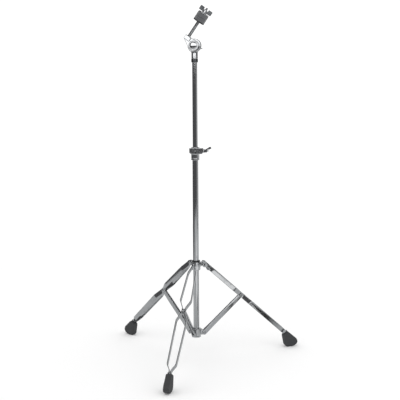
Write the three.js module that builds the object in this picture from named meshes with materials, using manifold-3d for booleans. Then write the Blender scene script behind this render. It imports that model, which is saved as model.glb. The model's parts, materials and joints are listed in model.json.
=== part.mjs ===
// Straight cymbal stand: a double braced tripod, a mast of two tubes and a tilter with a cymbal stack.
// Millimetres, +Z up. Everything is placed around the mast axis, and at the end the whole stand is moved
// so that its origin is the centre of its footprint on the floor. The front leg points along -Y, and the
// tilter and the height clamp face the same way.

import * as THREE from 'three';
import { mergeVertices } from 'three/addons/utils/BufferGeometryUtils.js';
import Module from 'manifold-3d';

const wasm = await Module();
wasm.setup();

// Fits and fineness
const slipFit = 0.3;
const seatGap = 0.3;
const cutOverrun = 6;
const weldDistance = 0.0001;
const tubeSegments = 24;
const discSegments = 28;
const smallSegments = 14;
const rivetSegments = 10;
const bendSteps = 2;
const cornerSteps = 3;

// Mast tubes
const lowerTubeDiameter = 22.2;
const upperTubeDiameter = 19.05;
const tubeWall = 1.2;
const lowerTubeLength = 722;
const upperTubeLength = 650;
const upperTubeShowing = 318;
const plugLip = 12;
const plugSpigot = 15;

// Tripod linkage: the brace and the leg above the brace pivot have one length, so that the upper collar
// rises straight up the mast as the legs fold
const legNames = ['front', 'right', 'left'];
const frontLegAngle = THREE.MathUtils.degToRad(-90);
const spreadAngle = THREE.MathUtils.degToRad(47.6);
const pivotRadius = 31;
const braceLength = 207.4;
const lowerLegLength = 250;

// Straps: flat steel bars, in pairs on either side of the leg's middle plane
const strapWidth = 17.5;
const strapThickness = 2.5;
const strapBend = 4.5;
const pivotFlat = 10;
const bendRun = 32;
const footFlat = 6;
const footBendRun = 22;
const strapInFoot = 26;
const topBow = 15;
const waistBow = 20.5;
const lowerBow = 19.6;
const footBow = 16;
const braceBow = 3.6;
const braceBowRun = 40;
const braceEndGap = 2.4;
const footStrapGap = 3.5;

// Rivets
const rivetRadius = 3;
const rivetHeadRadius = 5.5;
const rivetHeadHeight = 2;
const spacerRadius = 5;
const rivetHeadShares = [[1, 0], [0.93, 0.5], [0.6, 0.88], [0, 1]];

// Foot: a rubber boot that runs along the strap on its upper side, with a blunt nose and a steep lower side
const footHeight = 62.7;
const footReach = 57;
const footThickness = 22;
const footRounding = 3;
const footCornerShare = 0.25;
const footOutlineShares = [
  [0.25, 0.02], [0.91, -0.5], [1, -0.7], [0.9, -0.88], [0.58, -1], [0.18, -1], [0.02, -0.88], [-0.13, -0.18],
];

// Lower collar, pinned to the bottom of the lower tube
const collarWall = 6;
const lowerCollarHeight = 36;
const lowerPivotAboveRim = 15;
const tubeAboveRim = 2;
const lowerTongueThickness = 9;
const lowerTongueRise = 9;
const lowerTongueRadius = 8.2;
const collarPinRadius = 2;
const collarPinAbovePivot = 15;
const basePlugFlange = 1.6;
const basePlugDepth = 13;

// Upper collar, which slides on the lower tube
const upperCollarHeight = 32;
const upperPivotBelowTop = 6.4;
const upperTongueRadius = 6.2;
const upperTongueThickness = 5.5;
const upperTongueDrop = 9;
const bushingWall = 1.6;
const bushingFlangeRadius = 15.5;
const bushingFlangeHeight = 5;
const collarBossRadius = 6;
const collarBossReach = 34;
const collarBossAngle = THREE.MathUtils.degToRad(60);
const collarBoltGrip = 10;
const collarBoltTurn = THREE.MathUtils.degToRad(35);

// Wing nuts: a turned hub and two upright ears in one flat plate
const hubBaseRadius = 9;
const hubTopRadius = 6.5;
const hubHeight = 12;
const hubFlange = 3;
const wingThickness = 4;
const wingReach = 26;
const wingRoot = 4;
const earInner = 9.5;
const earBottom = 2.5;
const earTop = 19;
const wingRootBottom = 2;
const wingRootTop = 10;
const earCornerShare = 0.2;

// Height clamp
const clampFacing = THREE.MathUtils.degToRad(14);
const clampSleeveHeight = 23;
const clampSleeveRadius = 15.5;
const clampHeadHeight = 26;
const clampHeadRadius = 16.5;
const tubeInClamp = 28;
const lugLeft = 22.5;
const lugRight = 30.5;
const lugFront = 27;
const lugHeight = 23;
const lugCorner = 5;
const lugBevel = 5;
const clampSlot = 2.5;
const clampBoltRadius = 3;
const clampBoltForward = 19.5;
const clampBoltHeadRadius = 5.2;
const clampBoltHeadHeight = 5;
const clampBoltEnd = 6;
const clampWasherRadius = 7.5;
const washerThickness = 1.5;
const leverHubRadius = 6.5;
const leverThickness = 8;
const leverWidth = 14;
const leverRoot = 8;
const leverRise = 14;
const leverEnd = 31;
const leverTurn = THREE.MathUtils.degToRad(155);

// Tilter: the base disc stands on the mast, and the arm turns on the bolt through both discs
const tiltAngle = THREE.MathUtils.degToRad(35.3);
const stemRadius = 11.9;
const stemRingHeight = 12;
const stemRingRadius = 12.6;
const stemLength = 23;
const stemSocket = 12;
const tilterRadius = 25.5;
const baseDiscFront = 7.5;
const baseDiscBack = 6.5;
const frictionDiscThickness = 1.2;
const frictionDiscRadius = 15;
const armDiscRadius = 20;
const armThickness = 11.5;
const armRecessRadius = 17;
const armRecessDepth = 2;
const tilterBoltRadius = 4;
const tilterBoltHeadRadius = 14;
const tilterBoltHeadHeight = 5;
const tilterNutTurn = THREE.MathUtils.degToRad(24);
const tilterWasherRadius = 10;
const boltBeyondNut = 4;
const boltHeadShares = [[1, 0], [1, 0.3], [0.8, 0.72], [0.45, 0.94], [0, 1]];

// Rod boss at the end of the arm
const rodOffset = 33.5;
const bossWidth = 26;
const bossTop = 18;
const bossBottom = 2;
const bossDepth = 16;
const bossCorner = 3;
const rodSocket = 10;

// Cymbal rod and stack, measured up the rod from the height of the tilter bolt
const shankRadius = 6;
const rodRadius = 4;
const rodTop = 140;
const seatHeight = 81;
const seatThickness = 3.5;
const seatRadius = 22.3;
const sleeveRadius = 6.5;
const feltRadius = 22.2;
const feltThickness = 15.5;
const feltRounding = 1.5;
const topWasherRadius = 20.5;
const topWasherThickness = 2.5;
const cymbalNutTurn = THREE.MathUtils.degToRad(0);

// Finishes: colour, roughness, metalness
const finishes = {
  chrome: { color: 0xc9ccd0, roughness: 0.12, metalness: 1 },
  steelStrap: { color: 0xb4b8bb, roughness: 0.22, metalness: 1 },
  casting: { color: 0xa3a6a8, roughness: 0.3, metalness: 1 },
  darkMetal: { color: 0x5c6062, roughness: 0.35, metalness: 0.9 },
  blackNylon: { color: 0x1b1c1e, roughness: 0.55, metalness: 0 },
  whiteNylon: { color: 0xd8d8d2, roughness: 0.5, metalness: 0 },
  rubber: { color: 0x2b2d2e, roughness: 0.75, metalness: 0 },
  felt: { color: 0x5a5d60, roughness: 0.98, metalness: 0 },
};

// Places worked out from the sizes above
const tubeRadius = lowerTubeDiameter / 2;
const tubeBore = tubeRadius - tubeWall;
const upperRadius = upperTubeDiameter / 2;
const upperBore = upperRadius - tubeWall;
const endRadius = strapWidth / 2;
const legEnd = braceLength + lowerLegLength + strapInFoot;
const bracePivotHeight = footHeight + lowerLegLength * Math.cos(spreadAngle);
const lowerPivotHeight = bracePivotHeight - braceLength * Math.cos(spreadAngle);
const upperPivotHeight = bracePivotHeight + braceLength * Math.cos(spreadAngle);
const footTopRadius = pivotRadius + (braceLength + lowerLegLength) * Math.sin(spreadAngle);
const braceTopOffset = (braceEndGap + strapThickness) / 2;
const waistOffset = braceTopOffset + strapThickness + slipFit;
const braceBaseOffset = (lowerTongueThickness + strapThickness) / 2 + slipFit;
const legTopOffset = (upperTongueThickness + strapThickness) / 2 + slipFit;
const footOffset = (footStrapGap + strapThickness) / 2;
const lowerCollarBottom = lowerPivotHeight - lowerPivotAboveRim;
const lowerTubeBottom = lowerCollarBottom + tubeAboveRim;
const lowerTubeTop = lowerTubeBottom + lowerTubeLength;
const collarBore = tubeRadius + slipFit;
const collarRadius = collarBore + collarWall;
const upperCollarTop = upperPivotHeight + upperPivotBelowTop;
const upperCollarBottom = upperCollarTop - upperCollarHeight;
const upperCollarBore = collarBore + bushingWall + slipFit;
const clampBottom = lowerTubeTop - tubeInClamp;
const clampHeadBottom = clampBottom + clampSleeveHeight;
const clampTop = clampHeadBottom + clampHeadHeight;
const clampBoltHeight = clampHeadBottom + clampHeadHeight / 2;
const stemBottom = clampTop + upperTubeShowing;
const sleeveBottom = stemBottom + stemRingHeight + seatGap;
const stemTop = sleeveBottom + stemLength;
const upperTubeTop = stemBottom + stemRingHeight + stemSocket;
const upperTubeBottom = upperTubeTop - upperTubeLength;
const tilterHeight = stemTop + tilterRadius;
const armBack = -(baseDiscFront + frictionDiscThickness + 2 * seatGap);
const armFront = armBack - armThickness;
const rodForward = -(baseDiscFront + seatGap + bossDepth / 2);
const seatTop = seatHeight + seatThickness;
const lowerFeltBottom = seatTop + seatGap;
const upperFeltBottom = lowerFeltBottom + feltThickness + seatGap;
const topWasherBottom = upperFeltBottom + feltThickness + seatGap;
const cymbalNutBottom = topWasherBottom + topWasherThickness + seatGap;

// A closed solid from a geometry whose seams are joined
function toSolid(geometry) {
  const bare = geometry.clone();
  bare.deleteAttribute('normal');
  bare.deleteAttribute('uv');
  const merged = mergeVertices(bare, weldDistance);
  const corners = [];
  for (let i = 0; i < merged.index.count; i += 3) {
    const [a, b, c] = [0, 1, 2].map((k) => merged.index.getX(i + k));
    if (a !== b && b !== c && c !== a) {
      corners.push(a, b, c);
    }
  }
  return new wasm.Manifold(new wasm.Mesh({
    numProp: 3,
    vertProperties: Float32Array.from(merged.attributes.position.array),
    triVerts: Uint32Array.from(corners),
  }));
}

// The geometry of a closed solid
function toGeometry(solid) {
  const mesh = solid.getMesh();
  const geometry = new THREE.BufferGeometry();
  geometry.setAttribute('position', new THREE.BufferAttribute(Float32Array.from(mesh.vertProperties), 3));
  geometry.setIndex(Array.from(mesh.triVerts));
  const flat = geometry.toNonIndexed();
  flat.computeVertexNormals();
  return flat;
}

// One geometry from pieces joined and pieces cut away
function carve(joined, removed = []) {
  const body = joined.map(toSolid).reduce((whole, piece) => whole.add(piece));
  return toGeometry(removed.map(toSolid).reduce((whole, piece) => whole.subtract(piece), body));
}

// A profile of [radius, height] points turned about the Z axis
function turned(profile, segments) {
  const points = profile.map(([radius, height]) => new THREE.Vector2(radius, height));
  const geometry = new THREE.LatheGeometry(points, segments);
  return geometry.rotateX(Math.PI / 2);
}

// A ring about the Z axis between two radii and two heights
function ring(inner, outer, bottom, top, segments) {
  return turned([[inner, bottom], [outer, bottom], [outer, top], [inner, top], [inner, bottom]], segments);
}

// A round bar about the Z axis between two heights
function bar(radius, bottom, top, segments) {
  return turned([[0, bottom], [radius, bottom], [radius, top], [0, top]], segments);
}

// A block between two corners
function block(low, high) {
  const size = high.map((value, axis) => value - low[axis]);
  const geometry = new THREE.BoxGeometry(...size);
  return geometry.translate(...high.map((value, axis) => (value + low[axis]) / 2));
}

// An outline in X and Y raised from one height to another
function raised(outline, bottom, top) {
  const shape = new THREE.Shape(outline.map(([x, y]) => new THREE.Vector2(x, y)));
  const geometry = new THREE.ExtrudeGeometry(shape, { depth: top - bottom, bevelEnabled: false });
  return geometry.translate(0, 0, bottom);
}

// An outline in X and Z given a thickness along Y, between two values of Y
function plate(outline, near, far) {
  return raised(outline, -far, -near).rotateX(Math.PI / 2);
}

// The points of an arc
function arc(x, y, radius, from, to, steps) {
  const points = [];
  for (let i = 0; i <= steps; i += 1) {
    const angle = from + ((to - from) * i) / steps;
    points.push([x + radius * Math.cos(angle), y + radius * Math.sin(angle)]);
  }
  return points;
}

// A quadratic curve that replaces a corner, from a point before it to a point after it
function corner(before, at, after, steps) {
  const points = [];
  for (let i = 0; i <= steps; i += 1) {
    const t = i / steps;
    points.push([0, 1].map((k) => (
      (1 - t) ** 2 * before[k] + 2 * t * (1 - t) * at[k] + t ** 2 * after[k])));
  }
  return points;
}

// The point a given way from one point towards another
function towards(from, to, distance) {
  const span = Math.hypot(to[0] - from[0], to[1] - from[1]);
  return [0, 1].map((k) => from[k] + ((to[k] - from[k]) * distance) / span);
}

// A closed outline with each corner rounded over a share of its shorter side
function softened(outline, share, steps) {
  const count = outline.length;
  return outline.flatMap((at, i) => {
    const last = outline[(i + count - 1) % count];
    const next = outline[(i + 1) % count];
    const sides = [last, next].map((end) => Math.hypot(end[0] - at[0], end[1] - at[1]));
    const cut = share * Math.min(...sides);
    return corner(towards(at, last, cut), at, towards(at, next, cut), steps);
  });
}

// An open line with each inner corner bent over a given length
function bent(line, reach, steps) {
  return line.flatMap((at, i) => {
    if (i === 0 || i === line.length - 1) {
      return [at];
    }
    return corner(towards(at, line[i - 1], reach), at, towards(at, line[i + 1], reach), steps);
  });
}

// The outline of a bar of even thickness along an open line, mitred at its bends
function ribbon(line, thickness) {
  const sides = [[], []];
  line.forEach((at, i) => {
    const before = line[Math.max(i - 1, 0)];
    const after = line[Math.min(i + 1, line.length - 1)];
    const ways = [[before, at], [at, after]].map(([a, b]) => Math.atan2(b[1] - a[1], b[0] - a[0]));
    const way = i === 0 ? ways[1] : i === line.length - 1 ? ways[0] : (ways[0] + ways[1]) / 2;
    const halfTurn = i === 0 || i === line.length - 1 ? 0 : (ways[1] - ways[0]) / 2;
    const half = thickness / 2 / Math.cos(halfTurn);
    sides[0].push([at[0] - half * Math.sin(way), at[1] + half * Math.cos(way)]);
    sides[1].unshift([at[0] + half * Math.sin(way), at[1] - half * Math.cos(way)]);
  });
  return [...sides[0], ...sides[1]];
}

// A strap whose line lies in X and Y and whose width runs along Z, trimmed to a side outline in X and Z
function strap(line, side, sideOutline, pivots) {
  const path = bent(line.map(([along, offset]) => [along, offset * side]), strapBend, bendSteps);
  const reach = Math.max(...line.map(([, offset]) => offset)) + cutOverrun;
  const blank = toSolid(raised(ribbon(path, strapThickness), -endRadius, endRadius));
  const trimmed = blank.intersect(toSolid(plate(sideOutline, -reach, reach)));
  const holes = pivots.map((along) => (
    new THREE.CylinderGeometry(rivetRadius + slipFit, rivetRadius + slipFit, 2 * reach, rivetSegments)
      .translate(along, 0, 0)));
  return toGeometry(holes.map(toSolid).reduce((whole, hole) => whole.subtract(hole), trimmed));
}

// One leg strap: pinched on the collar tongue, on the brace and in the foot, and bowed out between
function legStrap(side) {
  const waist = braceLength;
  const foot = braceLength + lowerLegLength;
  const line = [
    [-endRadius, legTopOffset],
    [pivotFlat, legTopOffset],
    [pivotFlat + bendRun, topBow],
    [waist - pivotFlat - bendRun, waistBow],
    [waist - pivotFlat, waistOffset],
    [waist + pivotFlat, waistOffset],
    [waist + pivotFlat + bendRun, lowerBow],
    [foot - footFlat - footBendRun, footBow],
    [foot - footFlat, footOffset],
    [legEnd, footOffset],
  ];
  const outline = [
    ...arc(0, 0, endRadius, Math.PI / 2, (3 * Math.PI) / 2, rivetSegments / 2),
    [legEnd, -endRadius],
    [legEnd, endRadius],
  ];
  return strap(line, side, outline, [0, waist, foot + strapInFoot / 2]);
}

// One brace strap: on the outside of the lower tongue, and inside the leg straps at its upper end
function braceStrap(side) {
  const line = [
    [-endRadius, braceBaseOffset],
    [pivotFlat, braceBaseOffset],
    [pivotFlat + braceBowRun, braceBow],
    [braceLength - pivotFlat - braceBowRun, braceBow],
    [braceLength - pivotFlat, braceTopOffset],
    [braceLength + endRadius, braceTopOffset],
  ];
  const outline = [
    ...arc(0, 0, endRadius, Math.PI / 2, (3 * Math.PI) / 2, rivetSegments / 2),
    ...arc(braceLength, 0, endRadius, -Math.PI / 2, Math.PI / 2, rivetSegments / 2),
  ];
  return strap(line, side, outline, [0, braceLength]);
}

// A rivet along Y: a shank, a spacer in the middle where there is a gap to fill, and a domed head each end
function rivet(grip, spacerHalf, headHeight) {
  const half = [];
  if (spacerHalf > 0) {
    half.push([spacerRadius, spacerHalf], [rivetRadius, spacerHalf]);
  }
  if (headHeight > 0) {
    half.push([rivetRadius, grip]);
    rivetHeadShares.forEach(([across, up]) => half.push([across * rivetHeadRadius, grip + up * headHeight]));
  } else {
    half.push([rivetRadius, grip], [0, grip]);
  }
  const profile = [...half.map(([radius, height]) => [radius, -height]).reverse(), ...half];
  return turned(profile, rivetSegments).rotateX(Math.PI / 2);
}

// The rubber foot, in the leg's middle plane, measured from the strap's end at the top of the foot
function foot() {
  const outline = footOutlineShares.map(([out, up]) => [out * footReach, up * footHeight]);
  const points = softened(outline, footCornerShare, cornerSteps).map(([x, y]) => new THREE.Vector2(x, y));
  const depth = footThickness - 2 * footRounding;
  const boot = new THREE.ExtrudeGeometry(new THREE.Shape(points), {
    depth,
    bevelThickness: footRounding,
    bevelSize: footRounding / 2,
    bevelOffset: -footRounding / 2,
    bevelSegments: 2,
  });
  boot.translate(0, 0, -depth / 2).rotateX(Math.PI / 2);
  const pocketHalf = endRadius + slipFit;
  const pocketSide = footOffset + strapThickness / 2 + slipFit;
  const pocket = block([-footReach, -pocketSide, -pocketHalf], [strapInFoot + slipFit, pocketSide, pocketHalf]);
  pocket.rotateY(Math.PI / 2 - spreadAngle);
  return carve([boot], [pocket]);
}

// A tongue that reaches out from a collar to a pivot, in X and Z, with its root taller than its end
function tongue(thickness, height, endRound, rootBelow, rootAbove) {
  const outline = [
    [tubeRadius, height - endRound - rootBelow],
    [collarRadius, height - endRound - rootBelow],
    ...arc(pivotRadius, height, endRound, -Math.PI / 2, Math.PI / 2, cornerSteps * 2),
    [collarRadius, height + endRound + rootAbove],
    [tubeRadius, height + endRound + rootAbove],
  ];
  return plate(outline, -thickness / 2, thickness / 2);
}

// A hole for a rivet, along Y at a pivot
function pivotHole(height, thickness) {
  const radius = rivetRadius + slipFit;
  const geometry = new THREE.CylinderGeometry(radius, radius, thickness + cutOverrun, rivetSegments);
  return geometry.translate(pivotRadius, 0, height);
}

// The angle of each leg about the mast
function legAngle(index) {
  return frontLegAngle + (index * 2 * Math.PI) / legNames.length;
}

// The lower collar: a ring with three tongues, pinned to the tube
function lowerCollar() {
  const top = lowerCollarBottom + lowerCollarHeight;
  const joined = [ring(tubeRadius, collarRadius, lowerCollarBottom, top, discSegments)];
  const removed = [bar(collarBore, lowerCollarBottom - cutOverrun, top + cutOverrun, tubeSegments)];
  legNames.forEach((name, index) => {
    const ear = tongue(lowerTongueThickness, lowerPivotHeight, lowerTongueRadius, 0, lowerTongueRise);
    joined.push(ear.rotateZ(legAngle(index)));
    removed.push(pivotHole(lowerPivotHeight, lowerTongueThickness).rotateZ(legAngle(index)));
  });
  removed.push(pinBar(collarPinRadius + slipFit, collarRadius + cutOverrun));
  return carve(joined, removed);
}

// A round bar across the lower collar, midway between two legs
function pinBar(radius, halfLength) {
  return bar(radius, -halfLength, halfLength, rivetSegments)
    .rotateY(Math.PI / 2)
    .rotateZ(frontLegAngle + collarBossAngle)
    .translate(0, 0, lowerPivotHeight + collarPinAbovePivot);
}

// The upper collar: a ring with three tongues and a boss for its wing bolt
function upperCollar() {
  const joined = [ring(tubeRadius, collarRadius, upperCollarBottom, upperCollarTop, discSegments)];
  const removed = [bar(upperCollarBore, upperCollarBottom - cutOverrun, upperCollarTop + cutOverrun, tubeSegments)];
  legNames.forEach((name, index) => {
    const ear = tongue(upperTongueThickness, upperPivotHeight, upperTongueRadius, upperTongueDrop, 0);
    joined.push(ear.rotateZ(legAngle(index)));
    removed.push(pivotHole(upperPivotHeight, upperTongueThickness).rotateZ(legAngle(index)));
  });
  joined.push(bossBar(collarBossRadius, tubeRadius, collarBossReach));
  removed.push(bossBar(rivetRadius + slipFit, 0, collarBossReach + cutOverrun));
  return carve(joined, removed);
}

// A round bar along the axis of the upper collar's boss, between two distances from the mast axis
function bossBar(radius, from, to) {
  return bar(radius, from, to, smallSegments)
    .rotateY(Math.PI / 2)
    .rotateZ(frontLegAngle + collarBossAngle)
    .translate(0, 0, upperPivotHeight);
}

// The nylon bushing in the upper collar: a sleeve with a thick flange on top of the casting
function collarBushing() {
  const flangeBottom = upperCollarTop + seatGap;
  const sleeve = turned([
    [collarBore, upperCollarBottom],
    [collarBore + bushingWall, upperCollarBottom],
    [collarBore + bushingWall, flangeBottom],
    [bushingFlangeRadius, flangeBottom],
    [bushingFlangeRadius, flangeBottom + bushingFlangeHeight],
    [collarBore, flangeBottom + bushingFlangeHeight],
    [collarBore, upperCollarBottom],
  ], tubeSegments);
  return carve([sleeve], [bossBar(rivetRadius + slipFit, 0, collarBossReach)]);
}

// The hub and ears of a wing nut, on the Z axis with its base at zero
function wings() {
  const hub = turned([
    [0, 0], [hubBaseRadius, 0], [hubBaseRadius, hubFlange], [hubTopRadius, hubHeight], [0, hubHeight],
  ], smallSegments);
  const ear = softened([
    [wingRoot, wingRootBottom],
    [hubBaseRadius, wingRootBottom],
    [earInner, earBottom],
    [wingReach, earBottom],
    [wingReach, earTop],
    [earInner, earTop],
    [earInner, wingRootTop],
    [wingRoot, wingRootTop],
  ], earCornerShare, bendSteps);
  const ears = [0, Math.PI].map((turn) => plate(ear, -wingThickness / 2, wingThickness / 2).rotateZ(turn));
  return [hub, ...ears];
}

// A wing nut with a bore
function wingNut(boreRadius) {
  const hole = bar(boreRadius, -cutOverrun, hubHeight + cutOverrun, smallSegments);
  return carve(wings(), [hole]);
}

// The wing bolt of the upper collar, whose tip stops just short of the tube
function collarWingBolt() {
  const length = collarBossReach + collarBoltGrip - collarBore;
  return carve([...wings(), bar(rivetRadius, -length, hubFlange, smallSegments)]);
}

// The height clamp: a sleeve on the lower tube, and a split head that faces -Y with two lugs, bevelled underneath
function clampBody() {
  const profile = [
    [upperRadius, clampBottom],
    [clampSleeveRadius, clampBottom],
    [clampSleeveRadius, clampHeadBottom],
    [clampHeadRadius, clampHeadBottom],
    [clampHeadRadius, clampTop],
    [upperRadius, clampTop],
    [upperRadius, clampBottom],
  ];
  const lugs = softened([
    [-lugLeft, -lugFront],
    [lugRight, -lugFront],
    [lugRight, -clampHeadRadius / 2],
    [clampHeadRadius / 2, 0],
    [-clampHeadRadius / 2, 0],
    [-lugLeft, -clampHeadRadius / 2],
  ], lugCorner / lugFront, cornerSteps);
  const lugBottom = clampBoltHeight - lugHeight / 2;
  const bevels = [-lugLeft, lugRight].map((edge) => {
    const outward = Math.sign(edge);
    const beyond = edge + outward * cutOverrun;
    return plate([
      [edge - outward * lugBevel, lugBottom],
      [edge, lugBottom + lugBevel],
      [beyond, lugBottom + lugBevel],
      [beyond, lugBottom - cutOverrun],
      [edge - outward * lugBevel, lugBottom - cutOverrun],
    ], -lugFront - cutOverrun, 0);
  });
  const slot = block(
    [-clampSlot / 2, -lugFront - cutOverrun, clampHeadBottom],
    [clampSlot / 2, 0, clampTop + cutOverrun],
  );
  return carve(
    [turned(profile, discSegments), raised(lugs, lugBottom, lugBottom + lugHeight)],
    [
      bar(collarBore, clampBottom - cutOverrun, clampTop + cutOverrun, tubeSegments),
      slot,
      ...bevels,
      clampBar(clampBoltRadius + slipFit, -lugRight - cutOverrun, lugRight + cutOverrun),
      clampBar(clampBoltHeadRadius + slipFit, -lugLeft - cutOverrun, -lugLeft + clampBoltHeadHeight),
    ],
  );
}

// A round bar along the clamp bolt's axis
function clampBar(radius, from, to) {
  return bar(radius, from, to, smallSegments)
    .rotateY(Math.PI / 2)
    .translate(0, -clampBoltForward, clampBoltHeight);
}

// The clamp bolt, with its head sunk in the left lug
function clampBolt() {
  const nutEnd = lugRight + 2 * seatGap + washerThickness + hubHeight;
  const headEnd = -lugLeft + clampBoltHeadHeight - seatGap;
  const head = clampBar(clampBoltHeadRadius, -lugLeft, headEnd);
  return carve([head, clampBar(clampBoltRadius, -lugLeft, nutEnd + clampBoltEnd)]);
}

// The lever nut on the clamp bolt: a hub and one flat lever that slants outward, on the Z axis
function leverNut(boreRadius) {
  const hub = bar(leverHubRadius, 0, hubHeight, smallSegments);
  const lever = plate(softened([
    [0, leverRoot - leverThickness],
    [leverRise, leverEnd - leverThickness],
    [leverRise, leverEnd],
    [0, leverRoot],
  ], earCornerShare, bendSteps), -leverWidth / 2, leverWidth / 2);
  const bore = bar(boreRadius, -cutOverrun, leverEnd, smallSegments);
  return carve([hub, lever], [bore]);
}

// The split nylon bushing that centres the upper tube in the clamp
function clampBushing() {
  const bottom = lowerTubeTop + seatGap;
  const slit = block([-clampSlot / 2, -clampHeadRadius, bottom - cutOverrun], [clampSlot / 2, 0, clampTop + cutOverrun]);
  return carve([ring(upperRadius + slipFit, tubeRadius, bottom, clampTop, tubeSegments)], [slit]);
}

// The tilter base: a sleeve on the upper tube, a neck and the rear disc
function tilterBase() {
  const neck = block(
    [-stemRadius, -baseDiscFront, stemTop - seatGap - slipFit],
    [stemRadius, baseDiscBack, stemTop + stemRadius],
  );
  const disc = bar(tilterRadius, -baseDiscBack, baseDiscFront, discSegments)
    .rotateX(Math.PI / 2)
    .translate(0, 0, tilterHeight);
  const hole = tilterBar(tilterBoltRadius + slipFit, -baseDiscBack - cutOverrun, baseDiscFront + cutOverrun)
    .translate(0, 0, tilterHeight);
  const socket = bar(upperRadius + slipFit, sleeveBottom - cutOverrun, upperTubeTop + seatGap, tubeSegments);
  return carve([bar(stemRadius, sleeveBottom, stemTop - slipFit, tubeSegments), neck, disc], [hole, socket]);
}

// A round bar along the tilter bolt's axis, from a distance behind the mast axis to one in front of it
function tilterBar(radius, from, to) {
  return bar(radius, from, to, smallSegments).rotateX(Math.PI / 2);
}

// The tilter bolt: a domed head in the recess of the arm, and a shank through both discs to the wing nut
function tilterBolt() {
  const headBase = -armFront - armRecessDepth + seatGap;
  const nutEnd = baseDiscBack + 2 * seatGap + washerThickness + hubHeight;
  const head = boltHeadShares.map(([across, up]) => (
    [across * tilterBoltHeadRadius, headBase + up * tilterBoltHeadHeight]));
  const profile = [
    [0, -nutEnd - boltBeyondNut], [tilterBoltRadius, -nutEnd - boltBeyondNut], [tilterBoltRadius, headBase], ...head,
  ];
  return turned(profile, smallSegments * 2).rotateX(Math.PI / 2);
}

// The tilter arm: the front disc, a web and the rod boss beside it, with the rod upright
function tilterArm() {
  const left = -rodOffset - bossWidth / 2;
  const right = -rodOffset + bossWidth / 2;
  const touching = (x, z, side) => Math.atan2(z, x) + side * Math.acos(armDiscRadius / Math.hypot(x, z));
  const above = touching(right, bossTop, -1);
  const below = touching(left, bossBottom, 1) - 2 * Math.PI;
  const outline = [
    [left, bossTop],
    [right, bossTop],
    ...arc(0, 0, armDiscRadius, above, below, discSegments),
    [left, bossBottom],
  ];
  const bossOutline = softened([
    [left, bossBottom],
    [right, bossBottom],
    [right, bossTop],
    [left, bossTop],
  ], bossCorner / bossWidth, cornerSteps);
  const recess = bar(armRecessRadius, -armFront - armRecessDepth, -armFront + cutOverrun, discSegments);
  return carve(
    [plate(outline, armFront, armBack), plate(bossOutline, rodForward - bossDepth / 2, rodForward + bossDepth / 2)],
    [
      recess.rotateX(Math.PI / 2),
      tilterBar(tilterBoltRadius + slipFit, -armBack - cutOverrun, -armFront + cutOverrun),
      bar(shankRadius + slipFit, bossTop - rodSocket, bossTop + cutOverrun, smallSegments)
        .translate(-rodOffset, rodForward, 0),
    ],
  );
}

// A felt disc with rounded rims, on the Z axis
function felt(bottom) {
  const top = bottom + feltThickness;
  const inner = sleeveRadius + slipFit;
  return turned([
    [inner, bottom],
    [feltRadius - feltRounding, bottom],
    [feltRadius, bottom + feltRounding],
    [feltRadius, top - feltRounding],
    [feltRadius - feltRounding, top],
    [inner, top],
    [inner, bottom],
  ], discSegments);
}

// A named mesh with a finish of its own
function piece(name, geometry, finish) {
  const mesh = new THREE.Mesh(geometry, new THREE.MeshStandardMaterial(finishes[finish]));
  mesh.name = name;
  return mesh;
}

// A named mesh moved to a place and turned by angles about X, Y and Z
function placed(mesh, position, rotation = [0, 0, 0]) {
  mesh.position.set(...position);
  mesh.rotation.set(...rotation);
  return mesh;
}

// One leg of the tripod: straps, braces, foot and rivets, in a group turned to the leg's angle
function leg(name, index) {
  const group = new THREE.Group();
  group.rotation.z = legAngle(index);

  const legFrame = new THREE.Group();
  legFrame.position.set(pivotRadius, 0, upperPivotHeight);
  legFrame.rotation.y = Math.PI / 2 - spreadAngle;
  const braceFrame = new THREE.Group();
  braceFrame.position.set(pivotRadius, 0, lowerPivotHeight);
  braceFrame.rotation.y = spreadAngle - Math.PI / 2;
  [1, -1].forEach((side, k) => {
    legFrame.add(piece(`${name}_leg_strap_${k + 1}`, legStrap(side), 'steelStrap'));
    braceFrame.add(piece(`${name}_brace_strap_${k + 1}`, braceStrap(side), 'steelStrap'));
  });

  const halfStrap = strapThickness / 2;
  const collarRivet = rivet(legTopOffset + halfStrap + slipFit, 0, rivetHeadHeight);
  const braceRivet = rivet(waistOffset + halfStrap + slipFit, braceEndGap / 2 - slipFit, rivetHeadHeight);
  const baseRivet = rivet(braceBaseOffset + halfStrap + slipFit, 0, rivetHeadHeight);
  const footPin = rivet(footOffset + halfStrap, footStrapGap / 2 - slipFit, 0);
  group.add(placed(piece(`${name}_collar_rivet`, collarRivet, 'darkMetal'), [pivotRadius, 0, upperPivotHeight]));
  group.add(placed(piece(`${name}_base_rivet`, baseRivet, 'darkMetal'), [pivotRadius, 0, lowerPivotHeight]));
  legFrame.add(placed(piece(`${name}_brace_rivet`, braceRivet, 'darkMetal'), [braceLength, 0, 0]));
  const pinAlong = braceLength + lowerLegLength + strapInFoot / 2;
  legFrame.add(placed(piece(`${name}_foot_pin`, footPin, 'darkMetal'), [pinAlong, 0, 0]));
  group.add(placed(piece(`${name}_foot`, foot(), 'rubber'), [footTopRadius, 0, footHeight]));
  group.add(legFrame, braceFrame);
  return group;
}

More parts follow.
